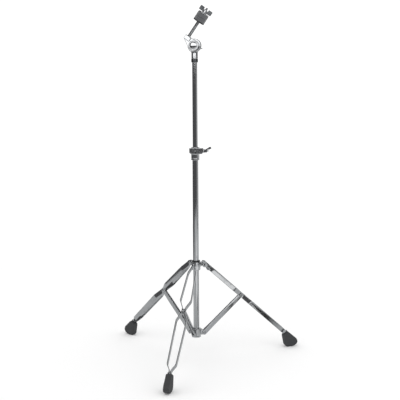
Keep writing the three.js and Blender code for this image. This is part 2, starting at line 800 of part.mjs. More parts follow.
// The two collars of the tripod and what is in them
function collars() {
  const group = new THREE.Group();
  group.add(piece('lower_collar', lowerCollar(), 'casting'));
  group.add(piece('lower_collar_pin', pinBar(collarPinRadius, collarRadius), 'darkMetal'));
  group.add(piece('upper_collar', upperCollar(), 'casting'));
  group.add(piece('collar_bushing', collarBushing(), 'blackNylon'));
  const boltFrame = new THREE.Group();
  boltFrame.rotation.z = frontLegAngle + collarBossAngle;
  const hubStart = collarBossReach + collarBoltGrip;
  const bolt = piece('collar_wing_bolt', collarWingBolt().rotateZ(collarBoltTurn), 'chrome');
  boltFrame.add(placed(bolt, [hubStart, 0, upperPivotHeight], [0, Math.PI / 2, 0]));
  group.add(boltFrame);
  return group;
}

// The lower tube with its base plug
function lowerMast() {
  const group = new THREE.Group();
  const tube = carve(
    [ring(tubeBore, tubeRadius, lowerTubeBottom, lowerTubeTop, tubeSegments)],
    [pinBar(collarPinRadius + slipFit, collarRadius)],
  );
  group.add(piece('lower_tube', tube, 'chrome'));
  const flangeTop = lowerTubeBottom - seatGap;
  const plug = turned([
    [0, flangeTop - basePlugFlange],
    [tubeRadius, flangeTop - basePlugFlange],
    [tubeRadius, flangeTop],
    [tubeBore - slipFit, flangeTop],
    [tubeBore - slipFit, flangeTop + basePlugDepth],
    [0, flangeTop + basePlugDepth],
  ], tubeSegments);
  group.add(piece('base_plug', plug, 'blackNylon'));
  return group;
}

// The height clamp, turned about the mast to where it faces
function clamp() {
  const group = new THREE.Group();
  group.rotation.z = clampFacing;
  group.add(piece('clamp_body', clampBody(), 'casting'));
  group.add(piece('clamp_bushing', clampBushing(), 'blackNylon'));
  group.add(piece('clamp_bolt', clampBolt(), 'chrome'));
  const washerStart = lugRight + seatGap;
  const washer = carve(
    [clampBar(clampWasherRadius, washerStart, washerStart + washerThickness)],
    [clampBar(clampBoltRadius + slipFit, washerStart - cutOverrun, washerStart + cutOverrun)],
  );
  group.add(piece('clamp_washer', washer, 'chrome'));
  const nut = piece('clamp_lever_nut', leverNut(clampBoltRadius + slipFit).rotateZ(leverTurn), 'darkMetal');
  const nutStart = washerStart + washerThickness + seatGap;
  group.add(placed(nut, [nutStart, -clampBoltForward, clampBoltHeight], [0, Math.PI / 2, 0]));
  return group;
}

// The upper tube, its end plug and the base of the tilter
function upperMast() {
  const group = new THREE.Group();
  group.add(piece('upper_tube', ring(upperBore, upperRadius, upperTubeBottom, upperTubeTop, tubeSegments), 'chrome'));
  const lipTop = upperTubeBottom - seatGap;
  const plug = turned([
    [0, lipTop - plugLip],
    [tubeBore - slipFit, lipTop - plugLip],
    [tubeBore - slipFit, lipTop],
    [upperBore - slipFit, lipTop],
    [upperBore - slipFit, lipTop + plugSpigot],
    [0, lipTop + plugSpigot],
  ], tubeSegments);
  group.add(piece('upper_tube_plug', plug, 'whiteNylon'));
  const stemRing = ring(upperRadius + slipFit, stemRingRadius, stemBottom, stemBottom + stemRingHeight, tubeSegments);
  group.add(piece('stem_ring', stemRing, 'darkMetal'));
  group.add(piece('tilter_base', tilterBase(), 'chrome'));
  return group;
}

// The bolt of the tilter with its friction disc, washer and wing nut
function tilterFixings() {
  const group = new THREE.Group();
  group.position.z = tilterHeight;
  const discFront = baseDiscFront + seatGap;
  const disc = carve(
    [bar(frictionDiscRadius, discFront, discFront + frictionDiscThickness, discSegments)],
    [bar(tilterBoltRadius + slipFit, discFront - cutOverrun, discFront + cutOverrun, smallSegments)],
  );
  group.add(piece('tilter_friction_disc', disc.rotateX(Math.PI / 2), 'blackNylon'));
  group.add(piece('tilter_bolt', tilterBolt(), 'chrome'));
  const washerFront = -baseDiscBack - seatGap;
  const washer = carve(
    [bar(tilterWasherRadius, washerFront - washerThickness, washerFront, smallSegments)],
    [bar(tilterBoltRadius + slipFit, washerFront - cutOverrun, washerFront + cutOverrun, smallSegments)],
  );
  group.add(piece('tilter_washer', washer.rotateX(Math.PI / 2), 'chrome'));
  const nut = piece('tilter_wing_nut', wingNut(tilterBoltRadius + slipFit).rotateZ(tilterNutTurn), 'chrome');
  group.add(placed(nut, [0, -washerFront + washerThickness + seatGap, 0], [-Math.PI / 2, 0, 0]));
  return group;
}

// The arm, the cymbal rod and the stack on it, built with the rod upright and tilted about the bolt
function head() {
  const group = new THREE.Group();
  group.position.z = tilterHeight;
  group.rotation.y = tiltAngle;
  group.add(piece('tilter_arm', tilterArm(), 'chrome'));
  const stack = new THREE.Group();
  stack.position.set(-rodOffset, rodForward, 0);
  const bore = rodRadius + slipFit;
  const sleeveTop = topWasherBottom - seatGap;
  const rodBottom = bossTop - rodSocket + seatGap;
  const sleeve = ring(bore, sleeveRadius, seatTop + seatGap, sleeveTop, smallSegments);
  const topWasher = ring(bore, topWasherRadius, topWasherBottom, topWasherBottom + topWasherThickness, discSegments);
  const rod = turned([
    [0, rodBottom],
    [shankRadius, rodBottom],
    [shankRadius, seatHeight - seatGap],
    [rodRadius, seatHeight - seatGap],
    [rodRadius, rodTop],
    [0, rodTop],
  ], smallSegments);
  stack.add(piece('cymbal_rod', rod, 'darkMetal'));
  stack.add(piece('seat_washer', ring(bore, seatRadius, seatHeight, seatTop, discSegments), 'blackNylon'));
  stack.add(piece('cymbal_sleeve', sleeve, 'blackNylon'));
  stack.add(piece('lower_felt', felt(lowerFeltBottom), 'felt'));
  stack.add(piece('upper_felt', felt(upperFeltBottom), 'felt'));
  stack.add(piece('top_washer', topWasher, 'chrome'));
  const nut = piece('cymbal_wing_nut', wingNut(bore).rotateZ(cymbalNutTurn), 'darkMetal');
  stack.add(placed(nut, [0, 0, cymbalNutBottom]));
  group.add(stack);
  return group;
}

// The whole stand, with its origin at the centre of its footprint on the floor
const stand = new THREE.Group();
stand.add(collars(), lowerMast(), clamp(), upperMast(), tilterFixings(), head());
legNames.forEach((name, index) => stand.add(leg(name, index)));
stand.updateMatrixWorld(true);
const extent = new THREE.Box3().setFromObject(stand, true);
const middle = extent.getCenter(new THREE.Vector3());
stand.position.set(-middle.x, -middle.y, -extent.min.z);

export default stand;
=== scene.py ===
"""Looks of a straight cymbal stand: smooth plated tubes, pressed leg straps, castings, rubber feet, felts and
a threaded rod."""

import json
import math

import bmesh
import bpy
import numpy as np
from mathutils import Matrix, Vector


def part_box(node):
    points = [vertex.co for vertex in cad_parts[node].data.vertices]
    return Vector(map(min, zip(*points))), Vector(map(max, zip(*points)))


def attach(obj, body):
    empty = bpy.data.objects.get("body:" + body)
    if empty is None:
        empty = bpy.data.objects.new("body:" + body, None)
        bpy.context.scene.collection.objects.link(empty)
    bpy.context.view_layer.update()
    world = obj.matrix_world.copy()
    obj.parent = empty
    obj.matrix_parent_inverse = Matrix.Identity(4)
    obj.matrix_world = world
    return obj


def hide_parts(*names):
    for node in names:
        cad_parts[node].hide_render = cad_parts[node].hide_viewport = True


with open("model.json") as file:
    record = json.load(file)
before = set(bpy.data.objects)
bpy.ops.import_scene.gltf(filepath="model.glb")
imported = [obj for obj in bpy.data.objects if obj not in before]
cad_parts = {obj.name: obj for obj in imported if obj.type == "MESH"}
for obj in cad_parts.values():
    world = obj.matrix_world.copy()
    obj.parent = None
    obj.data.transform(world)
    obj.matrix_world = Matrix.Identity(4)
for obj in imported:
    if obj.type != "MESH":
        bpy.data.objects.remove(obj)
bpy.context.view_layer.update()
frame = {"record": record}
METRE = 1000.0
TURN = 2 * math.pi
RIGHT_ANGLE = math.pi / 2
TINY = 1e-9
LEGS = ("front", "right", "left")
JOINTS = {joint["name"]: joint for joint in frame["record"]["behaviour"]["joints"]}


# Places on the stand, in millimetres

def node_box(name):
    """The lowest and highest corner of a node, in millimetres."""
    low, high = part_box(name)
    return np.array(low) * METRE, np.array(high) * METRE


def node_heights(name):
    """The heights of a node's lowest and highest point, in millimetres."""
    low, high = node_box(name)
    return low[2], high[2]


def joint_point(name):
    """The point on a joint's axis, in millimetres."""
    return np.array(JOINTS[name]["pos_m"], float) * METRE


def joint_axis(name):
    """The unit vector along a joint's axis."""
    axis = np.array(JOINTS[name]["axis"], float)
    return axis / np.linalg.norm(axis)


def carried(points, origin, x_axis, z_axis):
    """Points taken from a local frame to the stand: the origin plus x, y and z times their axes, the Y axis
    being Z cross X."""
    x_axis, z_axis = np.array(x_axis, float), np.array(z_axis, float)
    axes = np.stack([x_axis, np.cross(z_axis, x_axis), z_axis])
    return np.asarray(origin, float) + np.asarray(points, float) @ axes


def across_of(axis, start, turn):
    """A direction square to an axis: the start direction turned about the axis by an angle."""
    return np.array(Matrix.Rotation(turn, 3, Vector(axis)) @ Vector(start))


UP = np.array([0.0, 0.0, 1.0])
RIGHT = np.array([1.0, 0.0, 0.0])
FRONT = np.array([0.0, -1.0, 0.0])
tube_low, tube_high = node_box("lower_tube")
MAST = (tube_low + tube_high) / 2 * [1, 1, 0]
TUBE_RADIUS = (tube_high - tube_low)[0] / 2
CENTRE = np.zeros(3)
ON_STAND, ON_MAST = (CENTRE, RIGHT, UP), (MAST, RIGHT, UP)


# Surfaces worked out as grids of points

LARGEST_CUT = 0.45
HOLDING_GAP = 0.7
FLAT_RING_GAP = 0.35
SQUARE = np.array([[-1, -1], [1, -1], [1, 1], [-1, 1]])


def eased(points, cut, steps=5, closed=False):
    """A line with rounded corners. The corner b becomes (1-t)^2 p + 2 t (1-t) b + t^2 q, with p and q on the
    two sides at the given cut from b, or at the largest share of the side where that is shorter."""
    points = np.asarray(points, float)
    starts = []
    for other in (np.roll(points, 1, 0), np.roll(points, -1, 0)):
        reach = np.linalg.norm(other - points, axis=1, keepdims=True)
        starts.append(points + (other - points) * np.minimum(cut / np.maximum(reach, TINY), LARGEST_CUT))
    p, q = starts
    t = np.linspace(0, 1, steps + 1)[None, :, None]
    curve = (1 - t) ** 2 * p[:, None] + 2 * t * (1 - t) * points[:, None] + t ** 2 * q[:, None]
    if closed:
        return curve.reshape(-1, points.shape[1])
    return np.concatenate([points[:1], curve[1:-1].reshape(-1, points.shape[1]), points[-1:]])


def run_along(line):
    """The distance of each point of a line from its first point, along the line."""
    return np.concatenate([[0], np.cumsum(np.linalg.norm(np.diff(line, axis=0), axis=1))])


def spaced(points, count):
    """The same closed line with a given count of points at equal steps along its length."""
    line = np.concatenate([points, points[:1]])
    run = run_along(line)
    at = np.linspace(0, run[-1], count + 1)[:-1]
    return np.stack([np.interp(at, run, line[:, k]) for k in range(line.shape[1])], -1)


def held(profile):
    """The same line with a point near each end of its longer sides, which keeps the shading of a straight
    side straight."""
    points = [profile[0]]
    for start, end in zip(profile[:-1], profile[1:]):
        length = np.linalg.norm(end - start)
        if length > 4 * HOLDING_GAP:
            step = (end - start) * HOLDING_GAP / length
            points += [start + step, end - step]
        points.append(end)
    return np.array(points)


def turned(profile, segments=72):
    """A surface of revolution about Z: a profile point of radius r and height z gives the ring (r cos t, r
    sin t, z)."""
    profile = held(np.asarray(profile, float))
    t = np.linspace(0, TURN, segments, endpoint=False)
    r, z = profile[:, :1], profile[:, 1:2]
    return np.stack([r * np.cos(t), r * np.sin(t), z + 0 * t], -1)


def turned_closed(corners, cut, segments=72):
    """A ring about Z: a closed profile with its corners rounded, turned round, its last row lying on its
    first."""
    profile = eased(corners, cut, 4, closed=True)
    return turned(np.concatenate([profile, profile[:1]]), segments)


def turned_ring(bore, radius, low, high, cut, segments=72):
    """A plain ring or tube about Z between two radii and two heights, its rims rounded."""
    return turned_closed([[bore, low], [radius, low], [radius, high], [bore, high]], cut, segments)


def turned_bar(radius, low, high, cut):
    """A round bar about Z with rounded rims, closed at both ends on the axis."""
    return turned(eased([[0, low], [radius, low], [radius, high], [0, high]], cut, 4), 48)


def inset_line(outline, distance):
    """A closed outline moved inwards: each point goes along the mean of its two sides' inward normals."""
    ahead = np.roll(outline, -1, 0) - outline
    behind = outline - np.roll(outline, 1, 0)
    way = sum(side / np.linalg.norm(side, axis=1, keepdims=True) for side in (ahead, behind))
    way = way / np.maximum(np.linalg.norm(way, axis=1, keepdims=True), TINY)
    normal = np.stack([-way[:, 1], way[:, 0]], -1)
    x, y = outline.T
    area = np.sum(x * np.roll(y, -1) - np.roll(x, -1) * y)
    return outline + normal * distance * np.sign(area)


def cushioned(outline, low, high, edge, rows=6, depth=None):
    """A plate with rounded edges, its outline in X and Y and its thickness along Z. At the angle a the
    outline stands inwards by edge (1 - cos a), and the height is depth (1 - sin a) short of the face, for a
    from 0 to a right angle. One more ring in each face keeps its shading flat."""
    depth = edge if depth is None else depth
    a = np.linspace(RIGHT_ANGLE, 0, rows)
    inwards = np.append(edge + FLAT_RING_GAP, edge * (1 - np.cos(a)))
    short = np.append(0.0, depth * (1 - np.sin(a)))
    level = np.concatenate([low + short, (high - short)[::-1]])
    insets = np.concatenate([inwards, inwards[::-1]])
    return np.stack([np.column_stack([inset_line(outline, inset), np.full(len(outline), height)])
                     for inset, height in zip(insets, level)])


def box_outline(low, high, corner):
    """A rectangle between two corners in X and Y, its own corners rounded."""
    (x0, y0), (x1, y1) = low, high
    return eased([[x0, y0], [x1, y0], [x1, y1], [x0, y1]], corner, 6, closed=True)


def raised(grid):
    """A plate whose outline is in X and Y, stood up, so that its outline is in X and Z."""
    return grid[..., [0, 2, 1]] * [1, -1, 1]


def bar_along(at, x, y, thick, wide):
    """A bar carried along a line in X and Y, whose points lie at the distances given. Where the line runs in
    the direction w, a point that is thick off the line and wide across it is (x - thick sin w, y + thick cos
    w, wide)."""
    way = np.arctan2(np.gradient(y, at), np.gradient(x, at))[:, None]
    return np.stack([x[:, None] - np.sin(way) * thick, y[:, None] + np.cos(way) * thick, wide], -1)


# Meshes

MERGE_GAP, FLAT_EDGE = 2e-7, 1e-8
SHARP_ANGLE = math.radians(42)


def faces_of(grid, capped):
    """The four-sided faces between the rows of a grid whose columns close on themselves, turned outwards by
    the sign of the volume that they enclose, with one many-sided face on each end row where asked."""
    rows, columns = grid.shape[:2]
    r, c = np.meshgrid(np.arange(rows - 1), np.arange(columns), indexing="ij")
    here, beside = r * columns + c, r * columns + (c + 1) % columns
    quads = np.stack([here, beside, beside + columns, here + columns], -1).reshape(-1, 4)
    points = grid.reshape(-1, 3) - grid.reshape(-1, 3).mean(0)
    corner = [points[quads[:, k]] for k in range(4)]
    volume = sum(np.sum(np.cross(corner[0], corner[k]) * corner[k + 1]) for k in (1, 2))
    ends = []
    if capped:
        first, last = np.arange(columns), (rows - 1) * columns + np.arange(columns)
        for row, sign in ((first, -1), (last, 1)):
            ring = points[row]
            volume += sign * np.sum(np.cross(ring, np.roll(ring, -1, 0)) * ring.mean(0))
        ends = [first[::-1].tolist(), last.tolist()]
    if volume < 0:
        return quads[:, ::-1].tolist() + [end[::-1] for end in ends]
    return quads.tolist() + ends


def piece(name, surfaces, body, slot, node_name, place=ON_MAST):
    """One mesh of several closed surfaces, each a grid or a pair of a grid and whether its ends are capped.
    They are carried to a place: an origin, an X axis and a Z axis. The piece has the finish of its slot,
    rides on a body and stands for a node."""
    points, faces, start = [], [], 0
    for entry in surfaces:
        grid, capped = entry if isinstance(entry, tuple) else (entry, False)
        grid = carried(grid, *place)
        faces += [[start + index for index in face] for face in faces_of(grid, capped)]
        points.append(grid.reshape(-1, 3) / METRE)
        start += grid.shape[0] * grid.shape[1]
    mesh = bpy.data.meshes.new(name)
    mesh.from_pydata(np.concatenate(points).tolist(), [], faces)
    work = bmesh.new()
    work.from_mesh(mesh)
    bmesh.ops.remove_doubles(work, verts=work.verts, dist=MERGE_GAP)
    bmesh.ops.dissolve_degenerate(work, edges=work.edges, dist=FLAT_EDGE)
    work.to_mesh(mesh)
    work.free()
    mesh.polygons.foreach_set("use_smooth", np.ones(len(mesh.polygons), bool))
    mesh.set_sharp_from_angle(angle=SHARP_ANGLE)
    mesh.materials.append(FINISHES[slot])
    made = bpy.data.objects.new(name, mesh)
    bpy.context.collection.objects.link(made)
    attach(made, body)
    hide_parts(node_name)


# Shader nodes

def node(tree, kind, **settings):
    """A new node with its settings, and its input values given under the name values."""
    values = settings.pop("values", {})
    made = tree.nodes.new(kind)
    for key, value in settings.items():
        setattr(made, key, value)
    for key, value in values.items():
        made.inputs[key].default_value = value
    return made


def combined(tree, operation, first, second):
    """A Math node on two sockets."""
    made = node(tree, "ShaderNodeMath", operation=operation)
    tree.links.new(first, made.inputs[0])
    tree.links.new(second, made.inputs[1])
    return made.outputs[0]


def ramp(tree, source, stops):
    """A colour ramp with grey stops [(place, value)], fed by a socket."""
    made = tree.nodes.new("ShaderNodeValToRGB")
    elements = made.color_ramp.elements
    for element, (place, value) in zip(elements, stops):
        element.position = place
        element.color = (value, value, value, 1)
    tree.links.new(source, made.inputs["Fac"])
    return made.outputs["Color"]


def mixed(tree, factor, low, high, kind="FLOAT"):
    """A mix of two values or sockets by a factor socket."""
    made = node(tree, "ShaderNodeMix", data_type=kind)
    first = {"FLOAT": 2, "RGBA": 6}[kind]
    tree.links.new(factor, made.inputs[0])
    for index, value in ((first, low), (first + 1, high)):
        if isinstance(value, bpy.types.NodeSocket):
            tree.links.new(value, made.inputs[index])
        else:
            made.inputs[index].default_value = value
    return made.outputs[{"FLOAT": 0, "RGBA": 2}[kind]]


def mixed_colour(tree, factor, low, high):
    """A mix of two colours, each a socket or red, green and blue, by a factor socket."""
    low, high = ((*value, 1) if isinstance(value, tuple) else value for value in (low, high))
    return mixed(tree, factor, low, high, "RGBA")


def noise(tree, vector, **values):
    """A noise texture on a vector, with its values."""
    made = node(tree, "ShaderNodeTexNoise", values=values)
    tree.links.new(vector, made.inputs["Vector"])
    return made


def stretched_noise(tree, vector, turn, stretch, **values):
    """A noise texture on a vector that is first turned and stretched, which draws its lumps out into
    lines."""
    mapping = node(tree, "ShaderNodeMapping")
    mapping.inputs["Rotation"].default_value = turn
    mapping.inputs["Scale"].default_value = stretch
    tree.links.new(vector, mapping.inputs["Vector"])
    return noise(tree, mapping.outputs["Vector"], Scale=1.0, **values)


# Shared effects: shader node groups

def new_group(name, inputs, outputs):
    """An empty shader node group on a vector, with named inputs and their values, and named outputs."""
    group = bpy.data.node_groups.new(name, "ShaderNodeTree")
    group.interface.new_socket("Vector", in_out="INPUT", socket_type="NodeSocketVector")
    for label, value in inputs.items():
        socket = group.interface.new_socket(label, in_out="INPUT", socket_type="NodeSocketFloat")
        socket.default_value = value
    for label in outputs:
        group.interface.new_socket(label, in_out="OUTPUT", socket_type="NodeSocketFloat")
    return group, group.nodes.new("NodeGroupInput").outputs, group.nodes.new("NodeGroupOutput").inputs


def handling_group():
    """Faint finger marks and haze on plate: broad cloudy noise, sharpened, times the amount, and a finer
    noise."""
    group, given, result = new_group("handling_marks", {"Size": 30.0, "Amount": 1.0}, ("Mask", "Ripple"))
    cloud = noise(group, given["Vector"], Detail=3.0, Roughness=0.6)
    fine = noise(group, given["Vector"], Scale=900.0, Detail=2.0)
    group.links.new(given["Size"], cloud.inputs["Scale"])
    mask = ramp(group, cloud.outputs["Fac"], [(0.45, 0.0), (0.72, 1.0)])
    group.links.new(combined(group, "MULTIPLY", mask, given["Amount"]), result["Mask"])
    group.links.new(fine.outputs["Fac"], result["Ripple"])
    return group


def scratch_group():
    """Fine scratches: two stretched noises crossed, only their thin crests kept."""
    group, given, result = new_group("fine_scratches", {"Amount": 1.0}, ("Mask",))
    crests = []
    for turn, stretch in ((0.6, (40.0, 900.0, 60.0)), (-0.9, (900.0, 50.0, 40.0))):
        lines = stretched_noise(group, given["Vector"], (turn, turn / 2, turn), stretch, Detail=1.0)
        crests.append(ramp(group, lines.outputs["Fac"], [(0.66, 0.0), (0.7, 1.0)]))
    joined = combined(group, "MAXIMUM", *crests)
    group.links.new(combined(group, "MULTIPLY", joined, given["Amount"]), result["Mask"])
    return group


def edge_group():
    """Worn edges and dusty corners: the pointiness of the surface, read above and below its middle value,
    times a noise and the amount."""
    group, given, result = new_group("edges_and_corners", {"Amount": 1.0}, ("Worn", "Dusty"))
    shape = node(group, "ShaderNodeNewGeometry")
    breaks = noise(group, given["Vector"], Scale=400.0, Detail=3.0)
    rough = ramp(group, breaks.outputs["Fac"], [(0.35, 0.25), (0.65, 1.0)])
    for label, stops in (("Worn", [(0.52, 0.0), (0.6, 1.0)]), ("Dusty", [(0.4, 1.0), (0.48, 0.0)])):
        band = ramp(group, shape.outputs["Pointiness"], stops)
        broken = combined(group, "MULTIPLY", band, rough)
        group.links.new(combined(group, "MULTIPLY", broken, given["Amount"]), result[label])
    return group


def moulded_group():
    """The skin of moulded plastic or rubber: fine grain with broad dull patches."""
    group, given, result = new_group("moulded_skin", {"Grain": 1500.0}, ("Patches", "Height"))
    patches = noise(group, given["Vector"], Scale=60.0, Detail=4.0, Roughness=0.65)
    grain = noise(group, given["Vector"], Detail=2.0, Roughness=0.5)
    group.links.new(given["Grain"], grain.inputs["Scale"])
    group.links.new(patches.outputs["Fac"], result["Patches"])
    group.links.new(grain.outputs["Fac"], result["Height"])
    return group


def felted_group():
    """Matted wool: crossing thin fibres, the largest of three stretched noises, and a soft lumpy base."""
    group, given, result = new_group("felted_wool", {}, ("Fibres", "Lumps"))
    strands = ((0.5, (300.0, 2400.0, 900.0)), (-1.1, (2200.0, 260.0, 1200.0)), (2.2, (900.0, 1800.0, 280.0)))
    crests = []
    for turn, stretch in strands:
        lines = stretched_noise(group, given["Vector"], (turn, -turn / 3, turn), stretch, Detail=2.0,
                                Distortion=0.6)
        crests.append(ramp(group, lines.outputs["Fac"], [(0.45, 0.0), (0.6, 1.0)]))
    crossed = combined(group, "MAXIMUM", crests[0], crests[1])
    lumps = noise(group, given["Vector"], Scale=220.0, Detail=3.0)
    group.links.new(combined(group, "MAXIMUM", crossed, crests[2]), result["Fibres"])
    group.links.new(lumps.outputs["Fac"], result["Lumps"])
    return group


HANDLING, SCRATCHES, EDGES = handling_group(), scratch_group(), edge_group()
MOULDED, FELTED = moulded_group(), felted_group()


# Materials

def new_material(name, **settings):
    """A material with a Principled shader and its plain values, and the piece's own coordinates."""
    material = bpy.data.materials.new(name)
    material.use_nodes = True
    tree = material.node_tree
    shader = next(one for one in tree.nodes if one.type == "BSDF_PRINCIPLED")
    for key, value in settings.items():
        shader.inputs[key].default_value = value
    coordinates = node(tree, "ShaderNodeTexCoord").outputs["Object"]
    return material, tree, shader, coordinates


def effect(tree, group, vector, **values):
    """The outputs of one of the shared groups, placed in a material with its own values."""
    made = node(tree, "ShaderNodeGroup", node_tree=group)
    tree.links.new(vector, made.inputs["Vector"])
    for key, value in values.items():
        made.inputs[key].default_value = value
    return made.outputs


def dressed(tree, shader, colour, rough, height, distance, strength=1.0):
    """A colour, a roughness where there is one, and a height bumped by a distance, joined to the shader."""
    bump = node(tree, "ShaderNodeBump", values={"Distance": distance, "Strength": strength})
    tree.links.new(height, bump.inputs["Height"])
    tree.links.new(bump.outputs["Normal"], shader.inputs["Normal"])
    tree.links.new(colour, shader.inputs["Base Color"])
    if rough:
        tree.links.new(rough, shader.inputs["Roughness"])


SCRATCHED_HAZE, DUST_ROUGHNESS, DUST_SHADE = 1.6, 0.55, 0.5
THREAD_ROUGHNESS, HANDLED_THREAD_ROUGHNESS = 0.24, 0.4
WORN_LIFT, WORN_OFFSET, PATCH_ROUGHNESS = 2.2, 0.02, 0.2


def plated(name, colour, dull, roughness, haze, marks, ripple, worn=0.5, scratches=0.7):
    """Chrome or nickel plate: clear metal, hazed where it is handled, scratched finely, a little dusty in its
    corners."""
    material, tree, shader, vector = new_material(name, Metallic=1.0)
    handled = effect(tree, HANDLING, vector, Size=marks, Amount=1.0)
    scratched = effect(tree, SCRATCHES, vector, Amount=scratches)
    edges = effect(tree, EDGES, vector, Amount=worn)
    rough = mixed(tree, handled["Mask"], roughness, roughness + haze)
    rough = mixed(tree, scratched["Mask"], rough, roughness + haze * SCRATCHED_HAZE)
    rough = mixed(tree, edges["Dusty"], rough, DUST_ROUGHNESS)
    tint = mixed_colour(tree, handled["Mask"], colour, dull)
    tint = mixed_colour(tree, edges["Dusty"], tint, tuple(value * DUST_SHADE for value in dull))
    dressed(tree, shader, tint, rough, handled["Ripple"], ripple)
    return material


def threaded(name, colour, dark):
    """A rolled thread: satin metal, with dark grease in its roots by the surface's own hollows."""
    material, tree, shader, vector = new_material(name, Metallic=1.0)
    edges = effect(tree, EDGES, vector, Amount=1.0)
    handled = effect(tree, HANDLING, vector, Size=90.0, Amount=1.0)
    tint = mixed_colour(tree, edges["Dusty"], colour, dark)
    rough = mixed(tree, handled["Mask"], THREAD_ROUGHNESS, HANDLED_THREAD_ROUGHNESS)
    dressed(tree, shader, tint, rough, handled["Ripple"], distance=4e-6)
    return material


def moulded(name, colour, faded, roughness, grain, depth, worn=0.6):
    """Moulded plastic or rubber: grained skin, paler where it is rubbed at its edges."""
    material, tree, shader, vector = new_material(name)
    shader.inputs["Specular IOR Level"].default_value = 0.45
    skin = effect(tree, MOULDED, vector, Grain=grain)
    edges = effect(tree, EDGES, vector, Amount=worn)
    tint = mixed_colour(tree, skin["Patches"], colour, faded)
    paler = tuple(min(1.0, value * WORN_LIFT + WORN_OFFSET) for value in faded)
    tint = mixed_colour(tree, edges["Worn"], tint, paler)
    rough = mixed(tree, skin["Patches"], roughness, roughness + PATCH_ROUGHNESS)
    dressed(tree, shader, tint, rough, skin["Height"], depth)
    return material


def wool_felt(name, colour, light, dark):
    """Pressed wool felt: matted fibres, lighter strands on a darker lumpy body, with a soft sheen."""
    material, tree, shader, vector = new_material(name, Roughness=0.95)
    shader.inputs["Sheen Weight"].default_value = 0.35
    shader.inputs["Sheen Roughness"].default_value = 0.5
    shader.inputs["Specular IOR Level"].default_value = 0.15
    wool = effect(tree, FELTED, vector)
    body = mixed_colour(tree, wool["Lumps"], dark, colour)
    tint = mixed_colour(tree, wool["Fibres"], body, light)
    height = combined(tree, "ADD", wool["Fibres"], wool["Lumps"])
    dressed(tree, shader, tint, None, height, distance=2.2e-4, strength=0.8)
    return material


PLATES = {
    "chrome_tube": dict(colour=(0.58, 0.59, 0.6), dull=(0.53, 0.54, 0.55), roughness=0.06, haze=0.06,
                        marks=14.0, ripple=4e-7, scratches=0.12),
    "plated_strap": dict(colour=(0.56, 0.57, 0.58), dull=(0.49, 0.5, 0.51), roughness=0.09, haze=0.12,
                         marks=30.0, ripple=4e-6),
    "plated_casting": dict(colour=(0.66, 0.67, 0.68), dull=(0.54, 0.55, 0.56), roughness=0.11, haze=0.12,
                           marks=60.0, ripple=1.2e-5, worn=0.8),
    "chrome_fitting": dict(colour=(0.6, 0.61, 0.62), dull=(0.54, 0.55, 0.56), roughness=0.08, haze=0.1,
                           marks=60.0, ripple=4e-6, worn=0.7),
    "dark_nickel": dict(colour=(0.12, 0.126, 0.132), dull=(0.08, 0.083, 0.087), roughness=0.3, haze=0.14,
                        marks=90.0, ripple=1.5e-5, worn=0.8),
    "rivet_steel": dict(colour=(0.5, 0.51, 0.52), dull=(0.36, 0.37, 0.38), roughness=0.22, haze=0.15,
                        marks=120.0, ripple=8e-6, worn=0.8),
}
MOULDINGS = {
    "black_nylon": dict(colour=(0.018, 0.019, 0.021), faded=(0.035, 0.037, 0.04), roughness=0.38,
                        grain=1800.0, depth=1.5e-5),
    "white_nylon": dict(colour=(0.72, 0.71, 0.67), faded=(0.62, 0.61, 0.56), roughness=0.4,
                        grain=1500.0, depth=1.5e-5, worn=0.2),
    "foot_rubber": dict(colour=(0.03, 0.032, 0.034), faded=(0.052, 0.054, 0.057), roughness=0.5,
                        grain=1300.0, depth=5e-5),
}
FINISHES = {name: plated(name, **looks) for name, looks in PLATES.items()}
FINISHES.update({name: moulded(name, **looks) for name, looks in MOULDINGS.items()})
FINISHES["threaded_rod"] = threaded("threaded_rod", colour=(0.5, 0.51, 0.52), dark=(0.06, 0.06, 0.065))
FINISHES["grey_felt"] = wool_felt("grey_felt", colour=(0.066, 0.068, 0.072), light=(0.125, 0.129, 0.135),
                                  dark=(0.036, 0.038, 0.04))


# Tripod: a strap's plan is its distance along the leg or brace, and its distance from the middle plane

LOWER_PIVOT, WAIST_PIVOT = joint_point("front_brace_hinge"), joint_point("front_leg_hinge")
UPPER_PIVOT_HEIGHT = joint_point("collar_hinge")[2]
LOWER_PIVOT_HEIGHT = LOWER_PIVOT[2]
PIVOT_REACH = np.linalg.norm((LOWER_PIVOT - MAST)[:2])
BRACE_LENGTH = np.linalg.norm(WAIST_PIVOT - LOWER_PIVOT)
SPREAD = math.acos((WAIST_PIVOT - LOWER_PIVOT)[2] / BRACE_LENGTH)
LEG_LENGTH = BRACE_LENGTH + 250.0
STRAP_IN_FOOT = 26.0

STRAP_HALF_WIDTH, STRAP_HALF_THICKNESS = 8.75, 1.25
STRAP_EDGE, STRAP_BEND = 1.1, 5.5
STRAP_ROWS, STRAP_END_ROWS = 230, 14

PIVOT_FLAT, PIVOT_BEND = 10.0, 42.0
FOOT_FLAT, FOOT_BEND = 6.0, 28.0
LEG_AT_COLLAR, LEG_AT_WAIST, LEG_IN_FOOT = 4.3, 5.25, 3.0
UPPER_BOW_START, UPPER_BOW_END = 15.0, 20.5
LOWER_BOW_START, LOWER_BOW_END = 19.6, 16.0
LEG_STRAP_PLAN = [
    [-STRAP_HALF_WIDTH, LEG_AT_COLLAR],
    [PIVOT_FLAT, LEG_AT_COLLAR],
    [PIVOT_BEND, UPPER_BOW_START],
    [BRACE_LENGTH - PIVOT_BEND, UPPER_BOW_END],
    [BRACE_LENGTH - PIVOT_FLAT, LEG_AT_WAIST],
    [BRACE_LENGTH + PIVOT_FLAT, LEG_AT_WAIST],
    [BRACE_LENGTH + PIVOT_BEND, LOWER_BOW_START],
    [LEG_LENGTH - FOOT_BEND, LOWER_BOW_END],
    [LEG_LENGTH - FOOT_FLAT, LEG_IN_FOOT],
    [LEG_LENGTH + STRAP_IN_FOOT, LEG_IN_FOOT],
]
